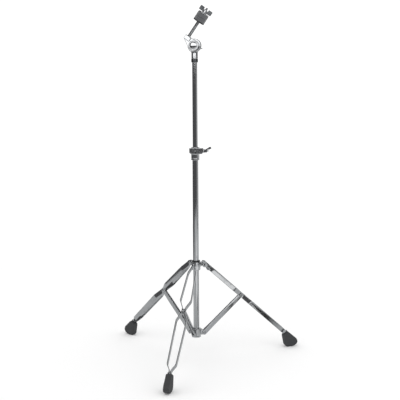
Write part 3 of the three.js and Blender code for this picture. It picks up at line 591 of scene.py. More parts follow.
BRACE_AT_BASE, BRACE_BOW, BRACE_AT_WAIST, BRACE_BEND = 6.05, 3.6, 2.45, 50.0
BRACE_STRAP_PLAN = [
    [-STRAP_HALF_WIDTH, BRACE_AT_BASE],
    [PIVOT_FLAT, BRACE_AT_BASE],
    [BRACE_BEND, BRACE_BOW],
    [BRACE_LENGTH - BRACE_BEND, BRACE_BOW],
    [BRACE_LENGTH - PIVOT_FLAT, BRACE_AT_WAIST],
    [BRACE_LENGTH + STRAP_HALF_WIDTH, BRACE_AT_WAIST],
]


def leg_axes(name):
    """A leg's outward and sideways directions: sideways is against the hinge's axis, and outward is up cross
    that axis."""
    hinge = joint_axis(f"{name}_brace_hinge")
    return np.cross(UP, hinge), -hinge


def leg_ways(outward):
    """The direction down a leg, and the direction square to it in the leg's middle plane."""
    aside, upright = math.sin(SPREAD), math.cos(SPREAD)
    return outward * aside - UP * upright, outward * upright + UP * aside


def strap_surface(plan, side, last_round):
    """A pressed strap: a rounded rectangle carried along a line in X and Y, its thickness along the line's
    normal. Within one half width of a rounded end, its width follows the half circle sqrt(R^2 - (R - d)^2) of
    the distance d from the end, so that it closes there."""
    path = eased(np.array(plan) * [1, side], STRAP_BEND, 8)
    run = run_along(path)
    radius, length = STRAP_HALF_WIDTH, run[-1]
    curl = radius * (1 - np.cos(np.linspace(0, RIGHT_ANGLE, STRAP_END_ROWS)))
    inner = np.linspace(radius, length - radius, STRAP_ROWS)[1:-1]
    last = curl[::-1] if last_round else np.array([radius, 0])
    at = np.concatenate([curl, inner, length - last])
    x, y = (np.interp(at, run, path[:, k]) for k in (0, 1))
    width = np.ones(len(at))
    for gap in (at, length - at) if last_round else (at,):
        near = np.clip(radius - gap, 0, radius)
        width = np.minimum(width, np.sqrt(np.maximum(radius ** 2 - near ** 2, 0)) / radius)
    rim = eased(SQUARE * [STRAP_HALF_THICKNESS, radius], STRAP_EDGE, 4, closed=True)
    parted = at + np.arange(len(at)) * TINY
    return bar_along(parted, x, y, rim[:, 0], rim[:, 1] * width[:, None])


# Rivets and foot pins

SHANK_RADIUS, SPACER_RADIUS = 3.0, 5.0
HEAD_RADIUS, HEAD_CROWN, HEAD_RISE, HEAD_LIP = 5.4, 1.6, 1.7, 0.15
DIMPLE_RADIUS, DIMPLE_RIM, DIMPLE_FLOOR = 1.2, 1.56, 1.1
WAIST_SPACER = 0.9
PIN_PROFILE = [[SPACER_RADIUS, 0], [SPACER_RADIUS, 1.4], [SHANK_RADIUS, 1.4], [SHANK_RADIUS, 3.9], [2.7, 4.2],
               [0, 4.2]]


def cross_bar(half):
    """A bar turned about Z from half a profile of radius and height, mirrored about its middle."""
    half = np.array(half, float)
    return turned(np.concatenate([half[::-1] * [1, -1], half[1:]]), 40)


def rivet_profile(grip, spacer):
    """Half of a rivet: its spacer or shank, then a head whose dome is a quarter ellipse, with a shallow
    dimple."""
    angle = np.linspace(0, RIGHT_ANGLE, 9)
    dome = np.stack([HEAD_CROWN + (HEAD_RADIUS - HEAD_CROWN) * np.cos(angle),
                     grip + HEAD_LIP + HEAD_RISE * np.sin(angle)], -1)
    start = [[SPACER_RADIUS, 0], [SPACER_RADIUS, spacer]] if spacer else [[SHANK_RADIUS, 0]]
    under = [[SHANK_RADIUS, grip], [HEAD_RADIUS - 0.1, grip]]
    dimple = [[DIMPLE_RADIUS, grip + DIMPLE_RIM], [0, grip + DIMPLE_FLOOR]]
    return np.concatenate([start, under, dome, dimple])


# Feet: the outline is given in shares of the foot's length and height

FOOT_OUTLINE = np.array([[0.25, 0.02], [0.91, -0.5], [1, -0.7], [0.9, -0.88], [0.58, -1], [0.18, -1],
                         [0.02, -0.88], [-0.13, -0.18]])
FOOT_SIZE = np.array([57.0, 62.7])
FOOT_HALF_WIDTH, FOOT_CORNER, FOOT_EDGE, FOOT_CROWN = 11.0, 7.5, 1.8, 3.0
GROOVE_PITCH, GROOVE_DEPTH, GROOVE_START, GROOVE_FADE = 4.2, 0.9, 0.9, 0.08
NECK_HALF_SIZE, NECK_CORNER, LIP_RADIUS, LIP_AT = np.array([10.2, 6.4]), 4.0, 1.0, 6.2


def foot_body():
    """The side outline of a foot cushioned across its thickness, with grooves under the sole that are cosine
    dips along the outline."""
    outline = spaced(eased(FOOT_OUTLINE * FOOT_SIZE, FOOT_CORNER, 8, closed=True), 260)
    sole = np.clip((-outline[:, 1] / FOOT_SIZE[1] - GROOVE_START) / GROOVE_FADE, 0, 1)
    groove = np.maximum(np.cos(outline[:, 0] * TURN / GROOVE_PITCH), 0) ** 3
    outline[:, 1] += groove * sole * GROOVE_DEPTH
    return cushioned(outline, -FOOT_HALF_WIDTH, FOOT_HALF_WIDTH, FOOT_EDGE, 8, FOOT_CROWN)


def foot_lip():
    """A rounded lip about Z: the neck's outline plus cos t times its outward normal and sin t times Z."""
    ring = spaced(box_outline(-NECK_HALF_SIZE, NECK_HALF_SIZE, NECK_CORNER), 96)
    normal = ring - inset_line(ring, LIP_RADIUS)
    t = np.linspace(0, TURN, 16, endpoint=False)[None, :, None]
    flat = ring[:, None] + np.cos(t) * normal[:, None]
    lip = np.concatenate([flat, LIP_RADIUS * np.sin(t) + 0 * flat[..., :1]], -1)
    return np.concatenate([lip, lip[:1]])


def build_leg(name):
    """One leg: two leg straps, two brace straps, their rivets and the foot."""
    outward, sideways = leg_axes(name)
    base, waist = joint_point(f"{name}_brace_hinge"), joint_point(f"{name}_leg_hinge")
    down, square = leg_ways(outward)
    top = waist - down * BRACE_LENGTH
    on_leg, on_brace = (top, down, square), (base, down * [1, 1, -1], square * [-1, -1, 1])
    straps = (("leg", LEG_STRAP_PLAN, False, on_leg), ("brace", BRACE_STRAP_PLAN, True, on_brace))
    for number, side in ((1, 1), (2, -1)):
        for part, plan, last_round, place in straps:
            strap = strap_surface(plan, side, last_round)
            piece(f"{name}_{part}_bar_{number}", [(strap, not last_round)], f"{name}_{part}", "plated_strap",
                  f"{name}_{part}_strap_{number}", place)
    rivets = (("collar_rivet", top, 5.85, "upper_collar", 0),
              ("brace_rivet", waist, 6.8, f"{name}_leg", WAIST_SPACER),
              ("base_rivet", base, 7.6, "mast", 0))
    for label, origin, grip, body, spacer in rivets:
        rivet = cross_bar(rivet_profile(grip, spacer))
        piece(f"{name}_{label}_head", [rivet], body, "rivet_steel", f"{name}_{label}",
              (origin, outward, sideways))
    foot_top = top + down * LEG_LENGTH
    pin_at = foot_top + down * STRAP_IN_FOOT / 2
    piece(f"{name}_foot_cross_pin", [cross_bar(PIN_PROFILE)], f"{name}_leg", "rivet_steel",
          f"{name}_foot_pin", (pin_at, outward, sideways))
    body = carried(foot_body(), foot_top, outward, -sideways)
    lip = carried(foot_lip(), foot_top + down * LIP_AT, square, down)
    piece(f"{name}_rubber_foot", [(body, True), lip], f"{name}_leg", "foot_rubber", f"{name}_foot", ON_STAND)


# Wing nuts: the hub's profile is radius and height, and an ear's outline reach and height

HUB_HEIGHT = 12
HUB_PROFILE = [[9, 0], [9, 3], [7.4, 4.2], [6.6, HUB_HEIGHT]]
EAR_REACH, EAR_TOP, EAR_HALF_THICKNESS = 26, 19, 2.0
EAR_OUTLINE = [[3, 2.1], [EAR_REACH, 2.5], [EAR_REACH, EAR_TOP], [9.5, EAR_TOP], [9.4, 10.2], [3, 10]]
COLLAR_WING_TURN, TILTER_WING_TURN = math.radians(35), math.radians(24)


def wing_hub(bore):
    """The turned hub of a wing nut, with a flange at its base, and closed on the axis where it has no
    bore."""
    corners = [[bore, 0], *HUB_PROFILE, [bore, HUB_HEIGHT]]
    return turned_closed(corners, 0.8, 56) if bore else turned(eased(corners, 0.8, 4), 56)


def wing_ears():
    """Two upright ears, each an outline in X and Z cushioned across Y."""
    outline = spaced(eased(EAR_OUTLINE, 2.6, 6, closed=True), 120)
    ear = raised(cushioned(outline, -EAR_HALF_THICKNESS, EAR_HALF_THICKNESS, 1.3))
    return [(ear, True), (ear * [-1, -1, 1], True)]


# Collars

BUSHING_RADIUS = 13.0
LOWER_BORE, UPPER_BORE = 11.4, 13.3
COLLAR_WALL, COLLAR_RIM = 17.0, 17.4
EAR_ROOT, EAR_SHOULDER = 12.5, 17.5
BOLT_SHANK = 3.0
BOLT_BORE = BOLT_SHANK + 0.3
BOLT_WAY = joint_axis("collar_bolt_spin")


def collar_ears(height, thickness, end_radius, below, above):
    """A collar's three ears. Each is an outline in outward and up with a half round end at the pivot,
    cushioned across."""
    turn = np.linspace(-RIGHT_ANGLE, RIGHT_ANGLE, 17)
    end = np.stack([PIVOT_REACH + end_radius * np.cos(turn), height + end_radius * np.sin(turn)], -1)
    low, high = height - end_radius - below, height + end_radius + above
    under, over = [[EAR_ROOT, low], [EAR_SHOULDER, low]], [[EAR_SHOULDER, high], [EAR_ROOT, high]]
    outline = spaced(eased(np.concatenate([under, end, over]), 1.5, 3, closed=True), 140)
    ear = raised(cushioned(outline, -thickness / 2, thickness / 2, 0.9, 5))
    return [(carried(ear, CENTRE, leg_axes(name)[0], UP), True) for name in LEGS]


def build_lower_collar():
    """The lower collar, a turned ring with three ears, and the pin through it."""
    low, high = LOWER_PIVOT_HEIGHT - 15, LOWER_PIVOT_HEIGHT + 21
    wall = COLLAR_WALL - 0.1
    ring = turned_closed([[LOWER_BORE, low], [COLLAR_RIM, low], [COLLAR_RIM, low + 4], [wall, low + 5.5],
                          [wall, high - 3], [wall - 0.7, high], [LOWER_BORE, high]], 1.0)
    ears = collar_ears(LOWER_PIVOT_HEIGHT, 9.0, 8.2, below=0, above=9)
    piece("lower_collar_casting", [ring, *ears], "mast", "plated_casting", "lower_collar")
    pin = turned_bar(2.0, -COLLAR_RIM, COLLAR_RIM, 0.6)
    pin_at = MAST + UP * (LOWER_PIVOT_HEIGHT + 15)
    piece("lower_collar_roll_pin", [pin], "mast", "rivet_steel", "lower_collar_pin", (pin_at, UP, BOLT_WAY))


def build_upper_collar():
    """The upper collar with its three ears and boss, its nylon bushing and its wing bolt."""
    top = UPPER_PIVOT_HEIGHT + 6.4
    low = top - 32
    ring = turned_closed([[UPPER_BORE, low], [COLLAR_WALL - 0.6, low], [COLLAR_WALL, low + 2],
                          [COLLAR_WALL, top - 7], [COLLAR_RIM, top - 5], [COLLAR_RIM, top],
                          [UPPER_BORE, top]], 1.0)
    ears = collar_ears(UPPER_PIVOT_HEIGHT, 5.5, 6.2, below=9, above=0)
    bore, radius, foot, end = BOLT_BORE, 6, 12, 34
    boss = turned_closed([[bore, foot], [radius, foot], [radius, end - 2.5], [radius - 0.6, end],
                          [bore, end]], 0.7, 48)
    boss = carried(boss, UP * UPPER_PIVOT_HEIGHT, UP, BOLT_WAY)
    piece("upper_collar_casting", [ring, *ears, boss], "upper_collar", "plated_casting", "upper_collar")

    seat, flange_top, flange = top + 0.3, top + 5.3, 15.5
    bushing = turned_closed([[LOWER_BORE, low], [BUSHING_RADIUS, low], [BUSHING_RADIUS, seat],
                             [flange, seat], [flange, flange_top - 0.8], [flange - 0.8, flange_top],
                             [LOWER_BORE, flange_top]], 0.7)
    piece("upper_collar_bushing", [bushing], "upper_collar", "black_nylon", "collar_bushing")

    tip, nut = 11.4, 44
    bolt = [wing_hub(0), *wing_ears(), turned_bar(BOLT_SHANK, tip - nut, 1.0, 0.5)]
    bolt_at = MAST + UP * UPPER_PIVOT_HEIGHT + BOLT_WAY * nut
    place = (bolt_at, across_of(BOLT_WAY, -UP, COLLAR_WING_TURN), BOLT_WAY)
    piece("collar_bolt_with_wings", bolt, "collar_bolt", "chrome_fitting", "collar_wing_bolt", place)


# Mast

TUBE_WALL, TUBE_RIM_CUT, PLUG_RADIUS = 1.2, 0.45, 9.6


def build_tube(name, body, node_name):
    """A drawn tube with rolled rims."""
    low, high = node_box(node_name)
    radius = (high - low)[0] / 2
    tube = turned_ring(radius - TUBE_WALL, radius, low[2], high[2], TUBE_RIM_CUT, 96)
    piece(name, [tube], body, "chrome_tube", node_name)


def build_plug(name, body, slot, node_name, foot, foot_top, core):
    """A moulded plug: a foot up to a given height, and a core above it that stands in the tube."""
    low, high = node_heights(node_name)
    profile = [[0, low], [foot, low], [foot, foot_top], [core, foot_top], [core, high], [0, high]]
    piece(name, [turned(eased(profile, 0.5, 3), 64)], body, slot, node_name)


def build_mast():
    """The two tubes and the plugs in their lower ends."""
    build_tube("lower_mast_tube", "mast", "lower_tube")
    foot_top = tube_low[2] - 0.3
    build_plug("base_plug_moulding", "mast", "black_nylon", "base_plug", TUBE_RADIUS, foot_top, PLUG_RADIUS)
    build_tube("upper_mast_tube", "upper_mast", "upper_tube")
    guide_top = node_heights("upper_tube_plug")[0] + 12
    build_plug("upper_tube_end_plug", "tube_plug", "white_nylon", "upper_tube_plug", PLUG_RADIUS, guide_top,
               core=8.0)


# Height clamp: its lugs stand in front of the mast, and its bolt runs along the lever's axis

CLAMP_WAY = joint_axis("clamp_lever_spin")
CLAMP_LOW, CLAMP_HIGH = node_heights("clamp_body")
CLAMP_MIDDLE = CLAMP_LOW + 36
CLAMP_BOLT_REACH, LEVER_NUT_AT = 19.5, 32.6
CLAMP_BOLT = MAST - np.cross(UP, CLAMP_WAY) * CLAMP_BOLT_REACH + UP * CLAMP_MIDDLE
LUG_BACK, LUG_FRONT, LUG_CORNER, LUG_HALF_HEIGHT, LUG_EDGE, LUG_EDGE_ROWS = -7, -27, 4.5, 11.5, 1.6, 6
HALF_SLOT, BEVEL_TOP, BEVEL_HEIGHT = 1.25, 6.3, 5.2
LEFT_LUG_REACH, RIGHT_LUG_REACH = 22.5, 30.5


def lug(reach):
    """A clamp lug: a cushioned block whose straight sides have rows between, and whose lower outer corner is
    cut back. Below the bevel's top the distance of each point from the slot shrinks in a line with the
    height."""
    outline = spaced(box_outline((HALF_SLOT, LUG_FRONT), (reach, LUG_BACK), LUG_CORNER), 96)
    middle, half, last = CLAMP_MIDDLE, LUG_HALF_HEIGHT, LUG_EDGE_ROWS
    block = cushioned(outline, middle - half, middle + half, LUG_EDGE, LUG_EDGE_ROWS)
    share = np.linspace(0, 1, 12)[1:-1, None, None]
    between = block[last] + (block[last + 1] - block[last]) * share
    block = np.concatenate([block[:last + 1], between, block[last + 1:]])
    short = np.clip(middle - BEVEL_TOP - block[..., 2], 0, BEVEL_HEIGHT)
    block[..., 0] = HALF_SLOT + (block[..., 0] - HALF_SLOT) * (1 - short / (reach - HALF_SLOT))
    return block


def build_clamp_casting():
    """The clamp's turned sleeve and head with two rounded lugs and a slot between them, and its bushing."""
    low, high = CLAMP_LOW, CLAMP_HIGH
    wall, head, groove = 15.5, 16.5, 14.9
    sleeve = turned_closed([[LOWER_BORE, low], [14.6, low], [wall, low + 1.2], [wall, low + 5.6],
                            [groove, low + 6.2], [groove, low + 7.6], [wall, low + 8.2], [wall, low + 22.5],
                            [head, low + 24], [head, high - 1], [head - 0.7, high], [LOWER_BORE, high]], 0.7)
    lugs = [(lug(reach) * [side, 1, 1], True) for side, reach in ((-1, LEFT_LUG_REACH), (1, RIGHT_LUG_REACH))]
    piece("height_clamp_casting", [sleeve, *lugs], "mast", "plated_casting", "clamp_body",
          (MAST, CLAMP_WAY, UP))
    bushing = turned_ring(9.8, TUBE_RADIUS, *node_heights("clamp_bushing"), 0.4)
    piece("height_clamp_bushing", [bushing], "mast", "black_nylon", "clamp_bushing")


def build_clamp_bolt():
    """The clamp's bolt and washer. The socket in the bolt's head is a hexagon: its points at the angle t
    stand at cos 30 / cos t of their radius, t being counted from the middle of the nearest side."""
    socket, head, floor, head_end, seat, tip = 2.6, 5.2, -20.9, -22.4, -17.8, 50.4
    profile = [[0, floor], [socket, floor], [socket, head_end], [head - 0.6, head_end],
               [head, head_end + 0.6], [head, seat], [BOLT_SHANK, seat], [BOLT_SHANK, tip - 1.2],
               [BOLT_SHANK - 0.4, tip], [0, tip]]
    bolt = turned(eased(profile, 0.3, 3), 48)
    half_side = math.pi / 6
    angle = np.linspace(0, TURN, 48, endpoint=False)
    hexagon = math.cos(half_side) / np.cos((angle + half_side) % (2 * half_side) - half_side)
    inside = (np.hypot(bolt[..., 0], bolt[..., 1]) < socket + 0.15) & (bolt[..., 2] < floor + 0.9)
    bolt[..., :2] *= np.where(inside, hexagon, 1.0)[..., None]
    washer = turned_ring(BOLT_BORE, 7.5, 30.8, 32.3, 0.3, 56)
    for name, grid, node_name in (("height_clamp_bolt", bolt, "clamp_bolt"),
                                  ("height_clamp_washer", washer, "clamp_washer")):
        piece(name, [grid], "mast", "chrome_fitting", node_name, (CLAMP_BOLT, UP, CLAMP_WAY))


LEVER_ROOT, LEVER_BEND, LEVER_TIP = [3.0, 5.2], [7.5, 13.0], [13.2, 27.8]
LEVER_ROUND = 6.0
LEVER_HALF_WIDTH, LEVER_WIDENING, LEVER_HALF_THICKNESS, LEVER_THICKENING = 4.4, 2.5, 1.5, 1.5
LEVER_LEAN = math.radians(25)


def lever_surface():
    """The clamp's bent lever: a rounded bar along a line in X and Z. It widens from about a quarter to two
    thirds of its length and thickens over its middle third, and its width closes at the tip as
    sqrt(1 - s^2), s running from 0 to 1 over the last stretch."""
    path = eased([LEVER_ROOT, LEVER_BEND, LEVER_TIP], 6.0, 16)
    run = run_along(path)
    length = run[-1]
    tip_start = length - LEVER_ROUND
    tip = length - LEVER_ROUND * np.cos(np.linspace(0, RIGHT_ANGLE, 14))
    at = np.concatenate([np.linspace(0, tip_start, 40), tip[1:]])
    x, z = (np.interp(at, run, path[:, k]) for k in (0, 1))
    share = np.clip(at / length, 0, 1)
    closing = np.sqrt(np.maximum(1 - np.clip((at - tip_start) / LEVER_ROUND, 0, 1) ** 2, 0))
    width = (LEVER_HALF_WIDTH + LEVER_WIDENING * np.clip(share * 2.2 - 0.5, 0, 1)) * closing
    thickness = LEVER_HALF_THICKNESS + LEVER_THICKENING * np.clip(share * 3 - 1, 0, 1)
    rim = eased(SQUARE, 0.7, 5, closed=True)
    return bar_along(at, x, z, thickness[:, None] * rim[:, 0], width[:, None] * rim[:, 1])[..., [0, 2, 1]]


def build_clamp_lever():
    """The nut on the clamp's bolt and the bent lever that is cast on it."""
    radius, waist, top = 6.5, 5.8, HUB_HEIGHT
    hub = turned_closed([[BOLT_BORE, 0], [radius, 0], [radius, 1.6], [waist, 2.6], [waist, 10.6],
                         [waist - 1, top], [BOLT_BORE, top]], 0.7, 56)
    upward = (math.cos(LEVER_LEAN), -math.sin(LEVER_LEAN), 0)
    lever = carried(lever_surface(), CENTRE, upward, (0, 0, 1))
    place = (CLAMP_BOLT + CLAMP_WAY * LEVER_NUT_AT, UP, CLAMP_WAY)
    piece("height_clamp_lever", [hub, (lever, True)], "clamp_lever", "dark_nickel", "clamp_lever_nut", place)


# Tilter: its parts are turned about the tilt's axis, which is Z here and points to the front

TILTER = joint_point("cymbal_tilt")
TILTER_NUT_BACK = 8.6
ON_TILTER = (TILTER, RIGHT, FRONT)
ROD_BORE = 4.3
STEM_BORE, STEM_RADIUS, BAND_RADIUS, BAND_HEIGHT = 9.825, 11.9, 12.6, 12
DISC_RADIUS, DISC_BACK, DISC_FRONT = 25.5, -6.5, 7.5
DOME_RADIUS, DOME_RISE, DOME_START, TILTER_BOLT = 14, 3.9, 20.3, 4


def build_stem():
    """The tilter's base with its stem, neck and rear disc, and the dark band round the foot of the stem."""
    low, _ = node_heights("stem_ring")
    band = turned_ring(STEM_BORE, BAND_RADIUS, low, low + BAND_HEIGHT, 0.6)
    piece("stem_band", [band], "upper_mast", "dark_nickel", "stem_ring")
    foot, shoulder = low + BAND_HEIGHT + 0.3, TILTER[2] - 25.5
    inner_top, crown = foot + 12.3, shoulder + 1.5
    stem = turned(eased([[STEM_BORE, inner_top], [STEM_BORE, foot], [STEM_RADIUS, foot],
                         [STEM_RADIUS, shoulder - 2.5], [10.2, crown], [0, crown], [0, inner_top],
                         [STEM_BORE, inner_top]], 0.8, 5))
    outline = spaced(box_outline((-STEM_RADIUS, DISC_BACK), (STEM_RADIUS, DISC_FRONT), 3.0), 80)
    neck = cushioned(outline, shoulder - 0.6, shoulder + 11.9, 0.8, 4) * [1, -1, 1]
    rim, groove = DISC_RADIUS, DISC_RADIUS - 0.7
    disc = turned(eased([[0, DISC_BACK], [22.6, DISC_BACK], [rim, -4.4], [rim, -0.8], [groove, -0.2],
                         [groove, 1.0], [rim, 1.6], [rim, 6.3], [rim - 1.2, DISC_FRONT],
                         [0, DISC_FRONT]], 0.8, 5), 112)
    disc = carried(disc, TILTER - MAST, RIGHT, FRONT)
    piece("tilter_base_casting", [stem, (neck, True), disc], "upper_mast", "chrome_fitting", "tilter_base")


def build_tilter_bolt():
    """The tilter's friction disc, rear washer, bolt with a domed head, and wing nut behind."""
    disc = turned_ring(ROD_BORE, 15, 7.8, 9.0, 0.3)
    piece("tilter_friction_washer", [disc], "upper_mast", "black_nylon", "tilter_friction_disc", ON_TILTER)
    washer = turned_ring(ROD_BORE, 10, -8.3, -6.8, 0.3, 56)
    piece("tilter_rear_washer", [washer], "upper_mast", "chrome_fitting", "tilter_washer", ON_TILTER)
    angle = np.linspace(0, RIGHT_ANGLE, 14)[:-1]
    dome = np.stack([DOME_RADIUS * np.cos(angle), DOME_START + DOME_RISE * np.sin(angle)], -1)
    end, seat, radius = -24.6, 19.1, TILTER_BOLT
    shank = [[0, end], [radius - 0.6, end], [radius, end + 0.6], [radius, seat]]
    under = [[DOME_RADIUS - 0.4, seat], [DOME_RADIUS, seat + 0.4]]
    profile = np.concatenate([shank, under, dome, [[0, DOME_START + DOME_RISE]]])
    piece("tilter_bolt_dome", [turned(profile, 96)], "upper_mast", "chrome_fitting", "tilter_bolt", ON_TILTER)
    place = (TILTER - FRONT * TILTER_NUT_BACK, across_of(-FRONT, RIGHT, TILTER_WING_TURN), -FRONT)
    nut = [wing_hub(ROD_BORE), *wing_ears()]
    piece("tilter_nut_with_wings", nut, "tilter_nut", "chrome_fitting", "tilter_wing_nut", place)


# Tilter arm: its outline is in X and height, its boss stands off the disc and holds the rod

ROD_WAY = joint_axis("cymbal_clamp_slide")
ARM_WAY = np.cross(ROD_WAY, FRONT)
ROD_OFFSET, ROD_FORWARD = 33.5, 15.8
ROD_FOOT = TILTER - ARM_WAY * ROD_OFFSET + FRONT * ROD_FORWARD
ARM_RADIUS, ARM_BACK, ARM_FRONT = 20, 9.3, 20.8
BOSS_LEFT, BOSS_RIGHT, BOSS_LOW, BOSS_TOP = -ROD_OFFSET - 13, -ROD_OFFSET + 13, 2.0, 18.0
RECESS = ((17.8, 0), (17.4, 0), (17.0, 0.3), (16.8, 1.2), (16.2, 1.9), (8, 2.0))


def touching(x, z, side):
    """The angle at which a line from a point touches the arm's disc, on the given side."""
    return math.atan2(z, x) + side * math.acos(ARM_RADIUS / math.hypot(x, z))


def arm_surfaces():
    """The arm: an outline of a disc drawn out to a boss, cushioned at its front edge. Inside the disc the
    front face steps down to a round recess, whose rings of points have the same angles as the outline."""
    turn = np.linspace(touching(BOSS_RIGHT, BOSS_TOP, -1), touching(BOSS_LEFT, BOSS_LOW, 1) - TURN, 90)
    disc = ARM_RADIUS * np.stack([np.cos(turn), np.sin(turn)], -1)
    corners = np.concatenate([[[BOSS_LEFT, BOSS_TOP], [BOSS_RIGHT, BOSS_TOP]], disc, [[BOSS_LEFT, BOSS_LOW]]])
    outline = spaced(eased(corners, 3.0, 5, closed=True), 260)
    shell = cushioned(outline, ARM_BACK, ARM_FRONT, 1.4)
    angle = np.arctan2(outline[:, 1], outline[:, 0])
    circle = np.stack([np.cos(angle), np.sin(angle)], -1)
    recess = [np.column_stack([radius * circle, np.full(len(circle), ARM_FRONT - depth)])
              for radius, depth in RECESS]
    outline = spaced(box_outline((BOSS_LEFT, BOSS_LOW), (BOSS_RIGHT, BOSS_TOP), 3.2), 120)
    boss = cushioned(outline, ROD_FORWARD - 8, ROD_FORWARD + 8, 1.8)
    return [(raised(np.concatenate([shell, recess])), True), (raised(boss), True)]


# Cymbal rod and its stack, measured up the rod from the height of the tilter's bolt

THREAD_DEPTH, THREAD_FADE, FADE_DEPTH, THREAD_SEGMENTS = 0.62, 1.6, 0.6, 30
ROWS_PER_PITCH, CREST_SHARE = 7, 1.15
SEAT_LOW, SEAT_TOP, SEAT_RADIUS = 81, 84.5, 22.3
LOWER_FELT, UPPER_FELT, SLEEVE_TOP = 84.8, 100.6, 116.1
FELT_BORE, FELT_RADIUS, FELT_HEIGHT, FELT_SEGMENTS = 6.8, 22.2, 15.5, 150
FELT_SHRINK, FELT_FUZZ, STEADY_RADIUS, SOFT_WIDTH = 0.3, 0.1, 8, 13
FELT_FLATTENED, FELT_FLATTENED_BY_FUZZ = 0.012, 0.008
WASHER_LOW, WASHER_TOP, NUT_BASE = 116.4, 118.9, 119.2


def rod_surface(low, high, radius, pitch):
    """A threaded rod about Z: at the angle t and height z its radius is the rod's, less the thread's depth
    times one minus a clipped triangle wave of t / turn - z / pitch, and less a little more at both ends."""
    rows = int((high - low) / pitch * ROWS_PER_PITCH)
    z = np.linspace(low, high, rows)[:, None]
    t = np.linspace(0, TURN, THREAD_SEGMENTS, endpoint=False)[None, :]
    phase = (t / TURN - z / pitch) % 1.0
    crest = np.clip((0.5 - np.abs(phase - 0.5)) * 2 * CREST_SHARE, 0, 1)
    fade = np.clip(np.minimum(z - low, high - z) / THREAD_FADE, 0, 1)
    r = radius - THREAD_DEPTH * (1 - crest) - FADE_DEPTH * (1 - fade)
    grid = np.stack([r * np.cos(t), r * np.sin(t), z + 0 * t], -1)
    end = np.zeros((1, THREAD_SEGMENTS, 3))
    return np.concatenate([end + [0, 0, low], grid, end + [0, 0, high]])


def felt_surface(bottom, seed):
    """A felt disc: a turned profile with soft rims, its radius and faces moved by a few waves of t and by
    small seeded noise, the smallest of which look like loose fibres. The bore stays as it is."""
    top = bottom + FELT_HEIGHT
    corners = [[FELT_BORE, bottom], [FELT_RADIUS, bottom], [FELT_RADIUS, top], [FELT_BORE, top]]
    profile = spaced(eased(corners, 1.7, 8, closed=True), 90)
    profile = np.concatenate([profile, profile[:1]])
    grid = turned(profile, FELT_SEGMENTS)
    rng = np.random.default_rng(seed)
    t = np.linspace(0, TURN, FELT_SEGMENTS, endpoint=False)[None, :]
    waves = sum(rng.uniform(0.05, 0.12) * np.sin(k * t + rng.uniform(0, TURN)) for k in (2, 3, 5, 9))
    fuzz = rng.uniform(-1, 1, (len(profile) - 1, FELT_SEGMENTS)) * FELT_FUZZ
    fuzz = np.concatenate([fuzz, fuzz[:1]])
    reach = np.clip((np.hypot(grid[..., 0], grid[..., 1]) - STEADY_RADIUS) / SOFT_WIDTH, 0, 1)
    grid[..., :2] *= (1 + (waves - FELT_SHRINK + fuzz) * reach / FELT_RADIUS)[..., None]
    middle = bottom + FELT_HEIGHT / 2
    flattened = FELT_FLATTENED + FELT_FLATTENED_BY_FUZZ * np.abs(fuzz)
    grid[..., 2] = middle + (grid[..., 2] - middle) * (1 - flattened)
    return grid


def build_head():
    """The arm, the threaded rod and the stack of seat washer, sleeve, felts, washer and wing nut."""
    piece("tilter_arm_casting", arm_surfaces(), "head", "chrome_fitting", "tilter_arm",
          (TILTER, ARM_WAY, ROD_WAY))
    lower_rod = rod_surface(low=8.4, high=80.6, radius=6.0, pitch=1.75)
    upper_rod = rod_surface(low=78.0, high=140.0, radius=4.0, pitch=1.25)
    seat = turned_closed([[ROD_BORE, SEAT_LOW], [SEAT_RADIUS - 1.4, SEAT_LOW], [SEAT_RADIUS, SEAT_LOW + 1],
                          [SEAT_RADIUS, SEAT_TOP], [ROD_BORE, SEAT_TOP]], 0.5, 96)
    sleeve = turned_ring(ROD_BORE, 6.5, LOWER_FELT, SLEEVE_TOP, 0.4, 48)
    low, top, reach = WASHER_LOW, WASHER_TOP, 20.5
    washer = turned_closed([[ROD_BORE, low + 0.2], [8, low + 0.2], [9.5, low], [reach, low],
                            [reach, top - 0.6], [9.2, top], [ROD_BORE, top]], 0.5, 96)
    stack = (
        ("cymbal_rod_thread", [lower_rod, upper_rod], "head", "threaded_rod", "cymbal_rod"),
        ("felt_seat_washer", [seat], "head", "black_nylon", "seat_washer"),
        ("rod_sleeve", [sleeve], "head", "black_nylon", "cymbal_sleeve"),
        ("felt_under_cymbal", [felt_surface(LOWER_FELT, 3)], "head", "grey_felt", "lower_felt"),
        ("felt_over_cymbal", [felt_surface(UPPER_FELT, 8)], "cymbal_clamp", "grey_felt", "upper_felt"),
        ("felt_top_washer", [washer], "cymbal_clamp", "chrome_fitting", "top_washer"),
    )
    for name, surfaces, body, slot, node_name in stack:
        piece(name, surfaces, body, slot, node_name, (ROD_FOOT, ARM_WAY, ROD_WAY))
    nut_at = ROD_FOOT + ROD_WAY * NUT_BASE
    for name, surfaces, slot in (("cymbal_nut_wings", wing_ears(), "dark_nickel"),
                                 ("cymbal_nut_hub", [wing_hub(ROD_BORE)], "chrome_fitting")):
        piece(name, surfaces, "cymbal_nut", slot, "cymbal_wing_nut", (nut_at, ARM_WAY, ROD_WAY))


# Stage: floor, softboxes, sky and camera, in metres

FLOOR_CORNERS = [(-1.5, -3.2, 0), (2.8, -3.2, 0), (2.8, 3.0, 0), (-1.5, 3.0, 0)]
# MIRRORED_PAPER is a painted reflection: the floor's colour only as plated surfaces mirror it
PAPER, MIRRORED_PAPER = (0.92, 0.92, 0.92), (0.52, 0.528, 0.532)
SKY, MIRRORED_SKY = (1.1, 1.1, 1.1), (0.1, 0.1, 0.103)
# Painted reflections: brighter and darker patches that only plated surfaces see in the floor
PAINTED_REFLECTION_PATCHES = (
    dict(centre=(1.12, -1.1), reach=(1.0, 0.42), turn=-36, level=1.0),
    dict(centre=(0.69, -0.21), reach=(0.28, 0.12), turn=108, level=0.045),
    dict(centre=(0.5, -0.04), reach=(0.3, 0.085), turn=140, level=0.045),
    dict(centre=(0.545, -0.1), reach=(0.4, 0.014), turn=138, level=1.0),
)


